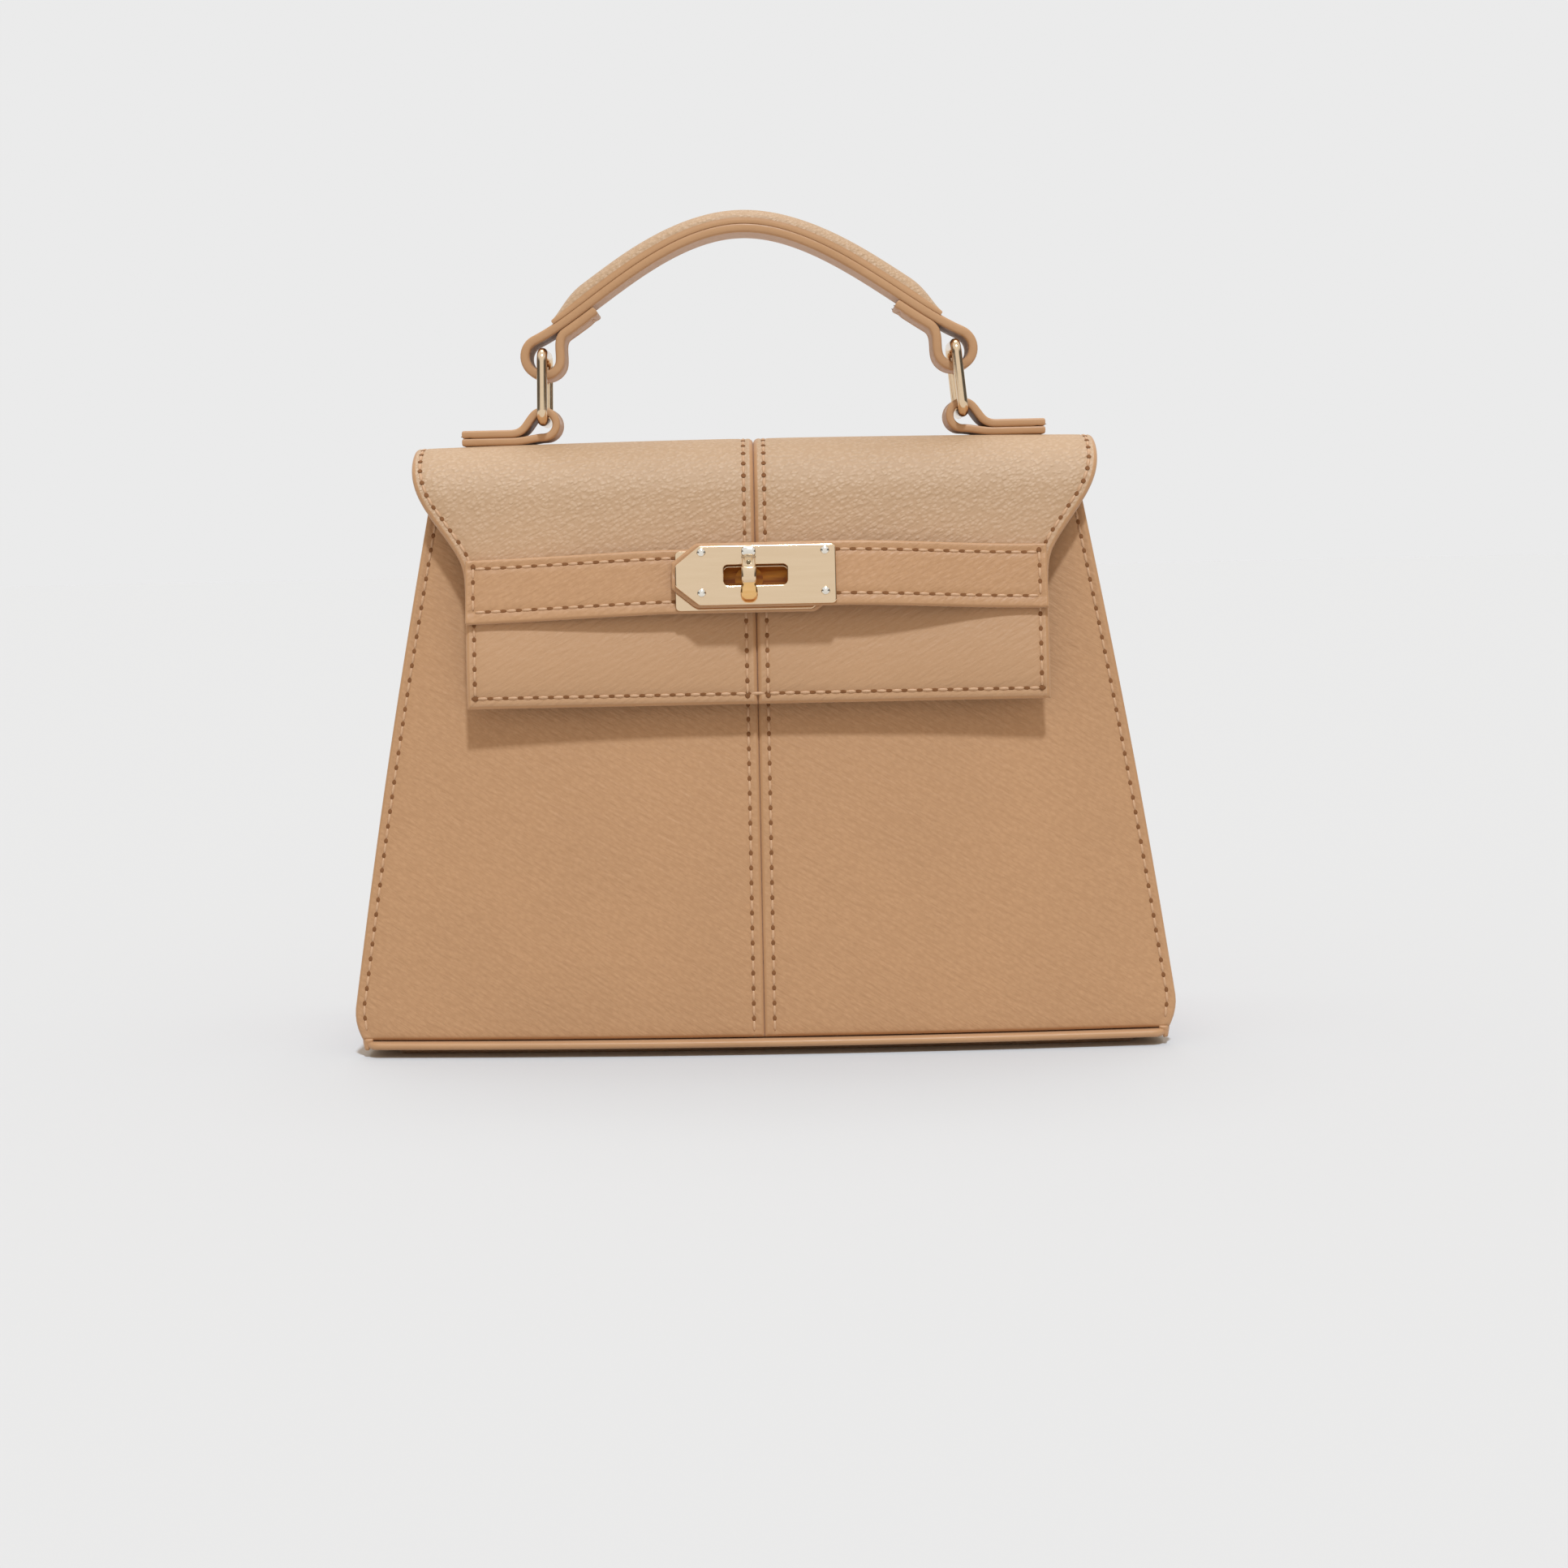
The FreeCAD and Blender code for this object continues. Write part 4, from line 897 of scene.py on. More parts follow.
def lay_flap(side):
    def edges(b):
        return 0, flap_half(b)

    def place(a, b):
        return flap_place(side * a, b, FLAP_LEATHER / 2)

    seams = (2.8 * MM, 2.4 * MM, 0, 3.1 * MM)
    return Cut(edges, (0, FLAP_END), place, FLAP_LEATHER, 1.6 * MM, turn=-side, seams=seams)


flap_rows, flap_hems = [], []
for side_name, side in SIDES:
    cut = lay_flap(side)
    add_sheet(f"flap_{side_name}_leather", cut, (30, 90), FLAP_LAYERS, "flap", f"flap_{side_name}")
    flap_rows += [cut.seam(0, 4 * MM, 4.5 * MM), cut.seam(1, 4 * MM, 5.1 * MM)]
    flap_hems.append(cut.seam(3, 0.5 * MM, 4.4 * MM))
sew("flap_stitches", "flap", *flap_rows)
sew("flap_hem_stitches", "flap", *flap_hems, hole=LONG_HOLE_SHADE)

SUEDE = (0.36, 0.22, 0.125)
suede = leather("suede_lining", SUEDE, SUEDE, SUEDE, 0.4 * MM, 0.06 * MM, 0.04 * MM, 0, 0.95)
foam = mottled("soft_foam", (0.6, 0.55, 0.44), (0.76, 0.72, 0.62), 1400.0, 0.1 * MM, 0.95)
UNDER_LAYER = 0.8 * MM


def lay_under_flap(depth, inset):
    """A sheet at a depth under the flap's outer face, inset from its ends."""

    def edges(b):
        half = flap_half(b) - 2.2 * MM
        return -half, half

    def place(a, b):
        return flap_place(a, b, depth)

    return Cut(edges, (inset - 1 * MM, FLAP_END - inset), place, UNDER_LAYER, 0.4 * MM, turn=-1)


suede_cut = lay_under_flap(FLAP_LEATHER + 0.3 * MM, 2.2 * MM)
add_sheet("flap_suede", suede_cut, (40, 80), (suede,) * 3, "flap", "flap_lining", "lining_cloth")
foam_cut = lay_under_flap(0.75 * FLAP_LEATHER, 2.5 * MM)
add_sheet("flap_foam", foam_cut, (20, 60), (foam,) * 3, "flap", "flap_filler", "soft_filler")


# Hinge
# A rolled fold of leather along the back panel's top under a strip that swells over it.

hinge_low, hinge_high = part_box("hinge_fold")
HINGE_Z = (hinge_low.z + hinge_high.z) / 2
HINGE_Y = (hinge_low.y + hinge_high.y) / 2
HINGE_RADIUS = (hinge_high.z - hinge_low.z) / 2
STRIP_LEATHER = 1 * MM
STRIP_LOW = 144.4 * MM
STRIP_HIGH = 159.7 * MM
STRIP_SWELL = 1.9 * MM
STRIP_SPREAD = 2.3 * MM


def strip_place(a, b):
    over_fold = STRIP_SWELL * math.exp(-(((b - HINGE_Z) / STRIP_SPREAD) ** 2))
    return Vector((a, FLAP_BACK + STRIP_LEATHER / 2 + over_fold, b))


strip_cut = Cut(
    lambda b: (-hinge_high.x + 1.5 * MM, hinge_high.x - 1.5 * MM), (STRIP_LOW, STRIP_HIGH), strip_place,
    STRIP_LEATHER, 0.5 * MM, turn=-1, seams=(0, 0, 2.2 * MM, 2.2 * MM),
)
strip = in_scene("hinge_strip", strip_cut.mesh("hinge_strip", 60, 26, SMOOTH_LAYERS))
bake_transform(strip)
sew("hinge_low_stitches", "bag_body", strip_cut.seam(2, 3 * MM, 3 * MM))
sew("hinge_high_stitches", "flap", strip_cut.seam(3, 3 * MM, 3 * MM))


def loft(name, rings, material, closed=False):
    """A skin over rings of points: closed into a loop, or capped at both ends."""
    points = [point for ring in rings for point in ring]
    size = len(rings[0])
    faces = []
    for ring in range(len(rings) if closed else len(rings) - 1):
        near, far = ring * size, (ring + 1) % len(rings) * size
        for step in range(size):
            turn = (step + 1) % size
            faces.append((near + step, near + turn, far + turn, far + step))
    if not closed:
        faces += [tuple(reversed(range(size))), tuple(range(len(points) - size, len(points)))]
    mesh = bpy.data.meshes.new(name)
    mesh.from_pydata(points, [], faces)
    mesh.materials.append(material)
    mesh.shade_smooth()
    form = bmesh.new()
    form.from_mesh(mesh)
    bmesh.ops.recalc_face_normals(form, faces=form.faces)
    form.to_mesh(mesh)
    form.free()
    return mesh


def turns(count):
    """Even angles all the way round."""
    return [math.tau * step / count for step in range(count)]


def turned(name, centre, axis, profile, material):
    """A part turned on a lathe: profile gives heights along the axis and radii."""
    side = axis.orthogonal().normalized()
    other = axis.cross(side)
    rings = []
    for height, radius in profile:
        rings.append([
            centre + axis * height + radius * (side * math.cos(angle) + other * math.sin(angle))
            for angle in turns(40)
        ])
    return loft(name, rings, material)


hinge_centre = Vector((0, HINGE_Y, HINGE_Z))
hinge_profile = (
    (hinge_low.x, 0.4 * HINGE_RADIUS), (hinge_low.x + 0.4 * MM, 0.85 * HINGE_RADIUS),
    (hinge_low.x + 1.2 * MM, HINGE_RADIUS), (hinge_high.x - 1.2 * MM, HINGE_RADIUS),
    (hinge_high.x - 0.4 * MM, 0.85 * HINGE_RADIUS), (hinge_high.x, 0.4 * HINGE_RADIUS),
)
piping_mesh = turned("hinge_piping", hinge_centre, Vector((1, 0, 0)), hinge_profile, smooth_tan)
add_piece("hinge_piping", piping_mesh, "bag_body", "tan_leather", "hinge_fold")


# Metal
# Pale polished plating with faint brushing, shared by the lock, the rings and the snap. The rivets and
# the toggle's upper lobe get a paler copy as painted highlight, its lower lobe a warmer copy as painted
# reflection of the leather, its pin is dark, and the slot shows orange and dark streaks of painted
# reflection and shade.

def metal(name, dark, light, roughness, metallic=1.0):
    """Brushed metal whose marks run across the bag."""
    material, tree, shader = new_material(name)
    place = add_node(tree, "ShaderNodeTexCoord").outputs["Object"]
    stretch = add_node(tree, "ShaderNodeMapping", {"Vector": place, "Scale": (60, 700, 700)})
    marks = noise(tree, stretch.outputs["Vector"], 1.0, 3.0)["Fac"]
    set_inputs(tree, shader, {
        "Base Color": mixed(tree, ranged(tree, marks, 0.35, 0.65), dark, light),
        "Roughness": ranged(tree, marks, low=roughness - 0.05, high=roughness + 0.05),
        "Metallic": metallic,
    })
    return material


gold = metal("pale_gold", (0.82, 0.62, 0.41), (0.84, 0.64, 0.43), 0.14)
# Paler and warmer copies of the plating: painted highlight and painted reflection of the leather.
leather_reflection_gold = metal("leather_reflection_gold", (0.85, 0.5, 0.19), (0.9, 0.56, 0.24), 0.16)
highlight_gold = metal("painted_highlight_gold", (0.82, 0.77, 0.68), (0.9, 0.85, 0.76), 0.1)
# The slot's orange and dark streaks: painted reflection of the leather and painted shade.
slot_reflection_and_shade = metal("painted_slot_reflection_and_shade", (0.5, 0.13, 0.006), (1, 0.45, 0.06), 0.4, metallic=0.1)
dark_gold = metal("dark_gold", (0.2, 0.15, 0.09), (0.26, 0.2, 0.12), 0.35)


# Magnetic snap
# A socket with a recess on the front panel and a stud with a boss under the flap's lining. Each
# row of a form gives a height along its axis and a radius, in millimetres.

PANEL_TILT = math.radians(9.782)
panel_out = Vector((0, -math.cos(PANEL_TILT), math.sin(PANEL_TILT)))
flap_out = Vector((0, -math.cos(FLAP_TILT), math.sin(FLAP_TILT)))
CUP_FORM = (
    (-1.43, 8.3), (0.5, 8.5), (1.1, 8.2), (1.43, 7.4), (1.43, 4.5), (1.1, 3.9), (0, 3.8), (0, 0.6),
)
BOSS_FORM = (
    (1.3, 6.8), (0.2, 7), (-0.3, 6.7), (-0.6, 6.1), (-0.6, 3.3), (-1.1, 3.1), (-1.3, 2.7), (-1.3, 0.4),
)
for name, node, body, axis, form in (
    ("snap_cup", "snap_socket", "bag_body", panel_out, CUP_FORM),
    ("snap_boss", "snap_stud", "flap", flap_out, BOSS_FORM),
):
    low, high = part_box(node)
    profile = [(height * MM, radius * MM) for height, radius in form]
    snap_mesh = turned(name, (low + high) / 2, axis, profile, gold)
    add_piece(name, snap_mesh, body, "pale_gold_metal", node)


# Closing straps
# Sewn down at the tongue's edges, they rise to the lock and pass over each other behind its plates.
# Spots on the flap's front are given as x, up the front from the toggle's level, and out of it.

LOCK = Vector((0, -32.0725 * MM, 128.1078 * MM))
flap_up = Vector((0, math.sin(FLAP_TILT), math.cos(FLAP_TILT)))
STRAP_HALF = 8.9 * MM
STRAP_LEVEL = 54.6 * MM
STRAP_TIP = TONGUE_HALF + 22.8 * MM
STRAP_SEAT = 5 * MM
TIP_CUT = 6.6 * MM
TIP_DEPTH = 5.4 * MM
STRAP_THICK = 2 * MM
SLOT_LENGTH = 17 * MM
SLOT_HEIGHT = 5.6 * MM
REAR_PLATE_DROP = 0.7 * MM
PLATE_CORNER = 1.3 * MM


def on_flap(x, up, out):
    return LOCK + Vector((x, 0, 0)) + flap_up * up + flap_out * out


def rounded_outline(corners, radius):
    """The outline of a polygon with its corners rounded."""
    outline = []
    for step, corner in enumerate(corners):
        before = (corners[step - 1] - corner).normalized()
        after = (corners[(step + 1) % len(corners)] - corner).normalized()
        half = before.angle(after) / 2
        centre = corner + (before + after).normalized() * (radius / math.sin(half))
        start = corner + before * (radius / math.tan(half)) - centre
        stop = corner + after * (radius / math.tan(half)) - centre
        outline += [centre + radius * start.slerp(stop, part / 6) for part in range(7)]
    return outline


def slot_outline(length, height):
    """The toggle's slot, counter-clockwise about its level."""
    across, rise = Vector((length / 2, 0)), Vector((0, height / 2))
    return rounded_outline((across + rise, rise - across, -across - rise, across - rise), 0.2 * height)


def lay_strap(end_side, level, drop, slack):
    def edges(b):
        half = STRAP_HALF - TIP_DEPTH * max(0, 1 - (STRAP_TIP - b) / TIP_CUT)
        return -half, half

    def place(a, b):
        climb = smooth_share((b - STRAP_SEAT) / (STRAP_LEVEL - STRAP_SEAT))
        sag = slack * (1 - min(1, b / STRAP_LEVEL))
        out = STRAP_THICK / 2 + (level - STRAP_THICK / 2) * climb
        return on_flap(end_side * (TONGUE_HALF - b), a - sag - drop, out)

    seams = (3.2 * MM, 2.5 * MM, 2.2 * MM, 0)
    return Cut(edges, (0, STRAP_TIP), place, STRAP_THICK, 0.9 * MM, turn=end_side, seams=seams, square=2.5)


def cut_slot(name, mesh):
    """The mesh with the toggle's slot cut through it."""
    outline = slot_outline(SLOT_LENGTH + 2 * MM, SLOT_HEIGHT + 2 * MM)
    rings = [[on_flap(x, up, out) for x, up in outline] for out in (-5 * MM, 15 * MM)]
    slot = in_scene(f"{name}_slot", loft(f"{name}_slot", rings, edge_paint))

    def add_cut(guide):
        boolean = guide.modifiers.new("slot", "BOOLEAN")
        boolean.operation = "DIFFERENCE"
        boolean.solver = "EXACT"
        boolean.object = slot

    made = evaluated(name, mesh, add_cut)
    bpy.data.objects.remove(slot)
    return made


STRAPS = (
    ("left", -1, 3.2 * MM, 0.5 * MM, 1.4 * MM),
    ("right", 1, 6.2 * MM, -0.45 * MM, 0.85 * MM),
)
for side_name, side, level, drop, slack in STRAPS:
    cut = lay_strap(side, level, drop, slack)
    piece_name = f"closing_{side_name}_leather"
    strap_mesh = cut_slot(piece_name, cut.mesh(piece_name, 12, 80, STRAP_LAYERS))
    add_piece(piece_name, strap_mesh, "flap", "tan_leather", f"strap_{side_name}")
    hidden = STRAP_TIP - TONGUE_HALF + 20 * MM
    rows = [cut.seam(0, 4.2 * MM, hidden), cut.seam(1, 4.2 * MM, hidden)]
    sew(f"closing_{side_name}_stitches", "flap", *rows, hole=LONG_HOLE_SHADE)
    sew(f"closing_{side_name}_end_stitches", "flap", cut.seam(2, 5.2 * MM, 3.8 * MM))


# Lock plates
# Two slotted plates, pointed at opposite ends, each on its strap and held by four rivets. The front
# plate's rivets sit a little right of its middle and above it.

PLATE_HALF = 21.8 * MM
PLATE_RISE = 8.3 * MM
RIVET_HALF = 16.7 * MM
RIVET_RISE = 5.6 * MM
RIVET_MIDDLE = 2.1 * MM
RIVET_LEVEL = 0.75 * MM
RIVET_SEAT = 8.4 * MM


def lock_plate(name, near, thickness, point_side, drop, bevel):
    """A plate from a flat outline with its slot, bevelled all round, laid on the flap's front."""
    corners = [
        (PLATE_HALF, PLATE_RISE),
        (-PLATE_HALF + TIP_CUT, PLATE_RISE),
        (-PLATE_HALF, PLATE_RISE - TIP_DEPTH),
        (-PLATE_HALF, TIP_DEPTH - PLATE_RISE),
        (-PLATE_HALF + TIP_CUT, -PLATE_RISE),
        (PLATE_HALF, -PLATE_RISE),
    ]
    outer = rounded_outline([Vector((-point_side * x, up - drop)) for x, up in corners], PLATE_CORNER)
    curve = bpy.data.curves.new(name, "CURVE")
    curve.dimensions = "2D"
    curve.fill_mode = "BOTH"
    curve.extrude = thickness / 2 - bevel
    curve.bevel_depth = bevel
    curve.bevel_resolution = 3
    curve.offset = -bevel
    for outline in (outer, slot_outline(SLOT_LENGTH, SLOT_HEIGHT)):
        spline = curve.splines.new("POLY")
        spline.points.add(len(outline) - 1)
        for point, (x, up) in zip(spline.points, outline):
            point.co = (x, up, 0, 1)
        spline.use_cyclic_u = True
    mesh = evaluated(name, curve)
    for vertex in mesh.vertices:
        x, up, out = vertex.co
        vertex.co = on_flap(x, up, out + near + thickness / 2)
    mesh.materials.clear()
    mesh.materials.append(gold)
    return mesh


def domes(name, spots, radius, height, material):
    """Dome heads at spots of the flap's front."""
    form = bmesh.new()
    for x, up, out in spots:
        head = bmesh.ops.create_uvsphere(form, u_segments=20, v_segments=10, radius=1)
        for vertex in head["verts"]:
            across, along, over = vertex.co
            vertex.co = on_flap(x + radius * across, up + radius * along, out + height * over)
    mesh = bpy.data.meshes.new(name)
    form.to_mesh(mesh)
    form.free()
    mesh.materials.append(material)
    mesh.shade_smooth()
    return mesh


PLATES = (
    ("lock_front_gold", "front_lock_plate", 7.2 * MM, 1.3 * MM, -1, 0, 0.5 * MM),
    ("lock_rear_gold", "rear_lock_plate", 4.2 * MM, 0.8 * MM, 1, REAR_PLATE_DROP, 0.2 * MM),
)
for name, node, *sizes in PLATES:
    add_piece(name, lock_plate(name, *sizes), "flap", "pale_gold_metal", node)
rivet_spots = [
    (RIVET_MIDDLE + across * RIVET_HALF, RIVET_LEVEL + rise_side * RIVET_RISE, RIVET_SEAT)
    for across in (-1, 1)
    for rise_side in (-1, 1)
]
# The rivet heads are the paler copy of the plating: painted highlight.
front_rivets = domes("front_rivet_heads", rivet_spots, 1.25 * MM, 0.9 * MM, highlight_gold)
add_piece("front_rivet_heads", front_rivets, "flap", "pale_gold_metal", "front_plate_rivets")


# Toggle
# A bar with a lobe at each end, a neck with a pin in it and a raised hub, that turns in the slot.
# Each row gives a level up the bar, half its width there, and its back and front, in millimetres.

TOGGLE_X = -1.8 * MM
TOGGLE_FORM = (
    (-7.4, 0.6, 10.2, 10.7), (-7.1, 1.4, 9.8, 11), (-6.4, 2.05, 9.5, 11.3), (-5.3, 2.35, 9.3, 11.5),
    (-4.2, 2.2, 9.3, 11.6), (-3.2, 1.8, 9.3, 11.6), (-2.9, 1.75, 9.3, 11.8), (-2.6, 1.9, 9.3, 12.5),
    (-2, 2.1, 9.3, 12.9), (-1, 2.1, 9.3, 13), (0.8, 2.1, 9.3, 13), (1.3, 2, 9.3, 12.8),
    (1.5, 1.8, 9.3, 11.9), (1.7, 1.8, 9.3, 11.6), (3.9, 1.8, 9.3, 11.6), (4.15, 1.5, 9.5, 11.1),
    (4.4, 1.5, 9.5, 11.1), (4.6, 1.8, 9.3, 12), (5.1, 2, 9.3, 12.5), (6.2, 2, 9.3, 12.5),
    (6.9, 1.7, 9.4, 12), (7.3, 1.1, 9.8, 11.3), (7.4, 0.5, 10.2, 10.8),
)
LOW_LOBE = -3
HIGH_LOBE = 4.5


def rounded(angle_part, power):
    return math.copysign(abs(angle_part) ** power, angle_part)


toggle_rings = []
for up, half, back, front in TOGGLE_FORM:
    toggle_rings.append([
        on_flap(
            TOGGLE_X + half * MM * rounded(math.cos(angle), 0.5),
            up * MM,
            ((back + front) / 2 + (front - back) / 2 * rounded(math.sin(angle), 0.5)) * MM,
        )
        for angle in turns(28)
    ])
toggle_mesh = loft("turn_toggle", toggle_rings, gold)
toggle_mesh.materials.append(leather_reflection_gold)
toggle_mesh.materials.append(highlight_gold)
# The lower lobe is a warmer copy of the plating as painted reflection of the leather, the upper lobe a paler
# copy as painted highlight.
for face in toggle_mesh.polygons:
    level = (face.center - LOCK).dot(flap_up) / MM
    face.material_index = 1 if level < LOW_LOBE else 2 if level > HIGH_LOBE else 0
add_piece("turn_toggle", toggle_mesh, "toggle", "pale_gold_metal", "toggle")
pin_mesh = domes("toggle_pin", [(TOGGLE_X, 2.8 * MM, 11.6 * MM)], 0.6 * MM, 0.2 * MM, dark_gold)
add_piece("toggle_pin", pin_mesh, "toggle", "pale_gold_metal")


# Rings
# Rounded rectangles of polished wire between the tabs' loops and the handle's loops.

PIVOT_X = 59 * MM
RING_WIRE = 1.45 * MM
RING_LOW = 173.9 * MM
RING_HIGH = 192.9 * MM
HANDLE_TOP = 228.4 * MM
RING_REACH = 10.75 * MM
RING_CORNER = 3 * MM
HANDLE_SPREAD = 0.98
HANDLE_SHIFT = 0.8 * MM
HANDLE_LEAN = 1.4 * MM


def lean(point):
    """The handle hangs a little to the left, and the right ring leans with it."""
    over = (point.y - RING_HIGH) / (HANDLE_TOP - RING_HIGH)
    return Vector((HANDLE_SPREAD * point.x - HANDLE_SHIFT - HANDLE_LEAN * over, point.y))


def ring_rings(side):
    """Circles of wire round a rounded rectangle in the plane of y and z."""
    centre = Vector((side * PIVOT_X, 0, (RING_LOW + RING_HIGH) / 2))
    reach = RING_REACH - RING_CORNER
    rise_half = (RING_HIGH - RING_LOW) / 2 - RING_CORNER
    top_shift = lean(Vector((side * PIVOT_X, RING_HIGH))).x - side * PIVOT_X
    rings = []
    for quarter, (y, z) in enumerate(((1, 1), (-1, 1), (-1, -1), (1, -1))):
        for step in range(13):
            angle = math.pi / 2 * (quarter + step / 12)
            out = Vector((0, math.cos(angle), math.sin(angle)))
            middle = centre + Vector((0, y * reach, z * rise_half)) + RING_CORNER * out
            middle.x += top_shift * (middle.z - RING_LOW) / (RING_HIGH - RING_LOW)
            rings.append([
                middle + RING_WIRE * (out * math.cos(turn) + Vector((math.sin(turn), 0, 0)))
                for turn in turns(20)
            ])
    return rings


for side_name, side in SIDES:
    ring_mesh = loft(f"wire_{side_name}", ring_rings(side), gold, closed=True)
    add_piece(f"wire_{side_name}", ring_mesh, f"ring_{side_name}", "pale_gold_metal", f"ring_{side_name}")


# Tabs
# Strips folded round the rings' lower bars: the two layers lie together on the flap's top, sewn down.

STRIP_HALF = 8.25 * MM
TAB_LEATHER = 2.2 * MM
TAB_LOOP_Z = 173 * MM
TAB_LOOP = 3.7 * MM
TAB_REACH = 23 * MM


class Path:
    """A line through points of a plane, measured along its length."""

    def __init__(self, points):
        self.points = points
        self.lengths = [0.0]
        for near, far in zip(points, points[1:]):
            self.lengths.append(self.lengths[-1] + (far - near).length)

    def at(self, length):
        place = bisect.bisect_right(self.lengths, length) - 1
        place = max(0, min(place, len(self.points) - 2))
        near, far = self.points[place], self.points[place + 1]
        share = (length - self.lengths[place]) / (self.lengths[place + 1] - self.lengths[place])
        return near + (far - near) * share


def arc(centre, radius, start, stop, count):
    """Points of an arc between two angles in degrees."""
    angles = [math.radians(start + (stop - start) * step / count) for step in range(count + 1)]
    return [centre + radius * Vector((math.cos(angle), math.sin(angle))) for angle in angles]


def tab_path():
    """Out along the flap from the lower layer's end, round the ring and back over it."""
    low = CROWN + TAB_LEATHER / 2
    high = low + TAB_LEATHER
    loop = arc(Vector((0, TAB_LOOP_Z)), TAB_LOOP, 270, 38, 40)
    away = (loop[-1] - loop[-2]).normalized()
    back = interpolate_bezier(
        loop[-1], loop[-1] + away * 3.4 * MM, Vector((5.4 * MM, high)), Vector((9.5 * MM, high)), 20,
    )
    start = interpolate_bezier(
        Vector((9 * MM, low)), Vector((5 * MM, low)), loop[0] + Vector((2.5 * MM, 0)), loop[0], 12,
    )
    return Path([Vector((TAB_REACH, low))] + start + loop[1:] + back[1:] + [Vector((TAB_REACH, high))])


def lay_strip(path, side, thickness, rim, seams, turn):
    """A strip of strap width along a path in the plane of x and z."""

    def place(a, b):
        x, z = path.at(b)
        return Vector((side * x, a, z))

    ends = (0, path.lengths[-1])
    edges = (-STRIP_HALF, STRIP_HALF)
    return Cut(lambda b: edges, ends, place, thickness, rim, turn=turn, seams=seams, square=3)


tab_line = Path([point + Vector((PIVOT_X, 0)) for point in tab_path().points])
for side_name, side in SIDES:
    cut = lay_strip(tab_line, side, TAB_LEATHER, 0.8 * MM, (2.2 * MM, 2.2 * MM, 0, 2.2 * MM), side)
    add_sheet(f"tab_{side_name}_leather", cut, (8, 90), STRIP_LAYERS, "flap", f"tab_{side_name}")
    run = tab_line.lengths[-1] - 13 * MM
    rows = [cut.seam(0, run, 2.2 * MM), cut.seam(1, run, 2.2 * MM), cut.seam(3, 2.2 * MM, 2.2 * MM)]
    sew(f"tab_{side_name}_stitches", "flap", *rows)


# Handle
# An arched strap whose ends loop round the rings and fold back under it, and a padded cover on top.

HANDLE_LEATHER = 2.6 * MM
HANDLE_SLOPE = math.radians(24)
HANDLE_LOOP = 5.2 * MM
HANDLE_LOOP_Z = 191.8 * MM
TOP_PULL = 23 * MM
FOOT_PULL = 17 * MM
TAIL_START = 9 * MM
TAIL_LENGTH = 20 * MM
COVER_STOP = 6.5 * MM
CROWN_PAD = 4.6 * MM
FLANK_PAD = 5.1 * MM
CORE_INSET = 2.5 * MM
COVER_LEATHER = 1.2 * MM
COVER_TAPER = 13 * MM
SEAM_END = 2.4 * MM

loop_centre = Vector((PIVOT_X, HANDLE_LOOP_Z))
up_strap = Vector((-math.cos(HANDLE_SLOPE), math.sin(HANDLE_SLOPE)))
off_strap = Vector((math.sin(HANDLE_SLOPE), math.cos(HANDLE_SLOPE)))


def handle_arch():
    """The strap's middle line from the top of the arch down to the right loop."""
    top = Vector((0, HANDLE_TOP - HANDLE_LEATHER / 2 - 0.6 * MM))
    foot = loop_centre + off_strap * HANDLE_LOOP
    return interpolate_bezier(top, top + Vector((TOP_PULL, 0)), foot + up_strap * FOOT_PULL, foot, 80)


def beside(line, distance):
    """A line that runs at a distance above another."""
    shifted = []
    for before, point, after in zip(line[:1] + line, line, line[1:] + line[-1:]):
        along = (after - before).normalized()
        shifted.append(point + Vector((-along.y, along.x)) * distance)
    return shifted


def handle_path():
    """From the middle of the arch down its right flank, round the ring and back under the strap."""
    arch = handle_arch()
    flank = 90 - math.degrees(HANDLE_SLOPE)
    loop = arc(loop_centre, HANDLE_LOOP, flank, flank - 205, 40)
    tail = [point for point in beside(arch, -HANDLE_LEATHER)
            if TAIL_START < (point - arch[-1]).length < TAIL_LENGTH]
    tail.reverse()
    leave = (loop[-1] - loop[-2]).normalized() * 3.5 * MM
    meet = (tail[1] - tail[0]).normalized() * 4 * MM
    fold = interpolate_bezier(loop[-1], loop[-1] + leave, tail[0] - meet, tail[0], 16)
    return arch + loop[1:] + fold[1:-1] + tail


def both_halves(half):
    """A whole line from its right half, leaning as the handle does."""
    left = [Vector((-point.x, point.y)) for point in reversed(half[1:])]
    return Path([lean(point) for point in left + half])


handle_line = both_halves(handle_path())
strap_cut = lay_strip(handle_line, 1, HANDLE_LEATHER, 1 * MM, (2.2 * MM,) * 4, -1)
add_sheet("handle_leather", strap_cut, (8, 260), STRIP_LAYERS, "handle", "handle_strap")


def cover_half():
    """The cover's middle line on the strap's upper face, stopping short of the loop."""
    arch = handle_arch()
    line = beside(arch, (HANDLE_LEATHER + COVER_LEATHER) / 2 - 0.2 * MM)
    return [point for point in line if (point - arch[-1]).length > COVER_STOP]


cover_line = both_halves(cover_half())


def cover_swell(a, b):
    """The padding's height: domed across the strap, fuller on the flanks, and nothing at both ends."""
    length = cover_line.lengths[-1]
    taper = math.sin(math.pi / 2 * max(0, min(min(b, length - b) / COVER_TAPER, 1)))
    pad = CROWN_PAD + (FLANK_PAD - CROWN_PAD) * smooth_share(abs(2 * b / length - 1) / 0.6)
    return (pad - COVER_LEATHER) * taper * math.sqrt(max(0, 1 - (a / STRIP_HALF) ** 2))


cover_cut = lay_strip(cover_line, 1, COVER_LEATHER, 0.4 * MM, (0, 0, 0, 0), -1)
cover_cut.swell = cover_swell
cover = add_sheet("padded_cover", cover_cut, (22, 120), FLAP_LAYERS, "handle", "handle_cover")


def core_edges(b):
    return CORE_INSET - STRIP_HALF, STRIP_HALF - CORE_INSET


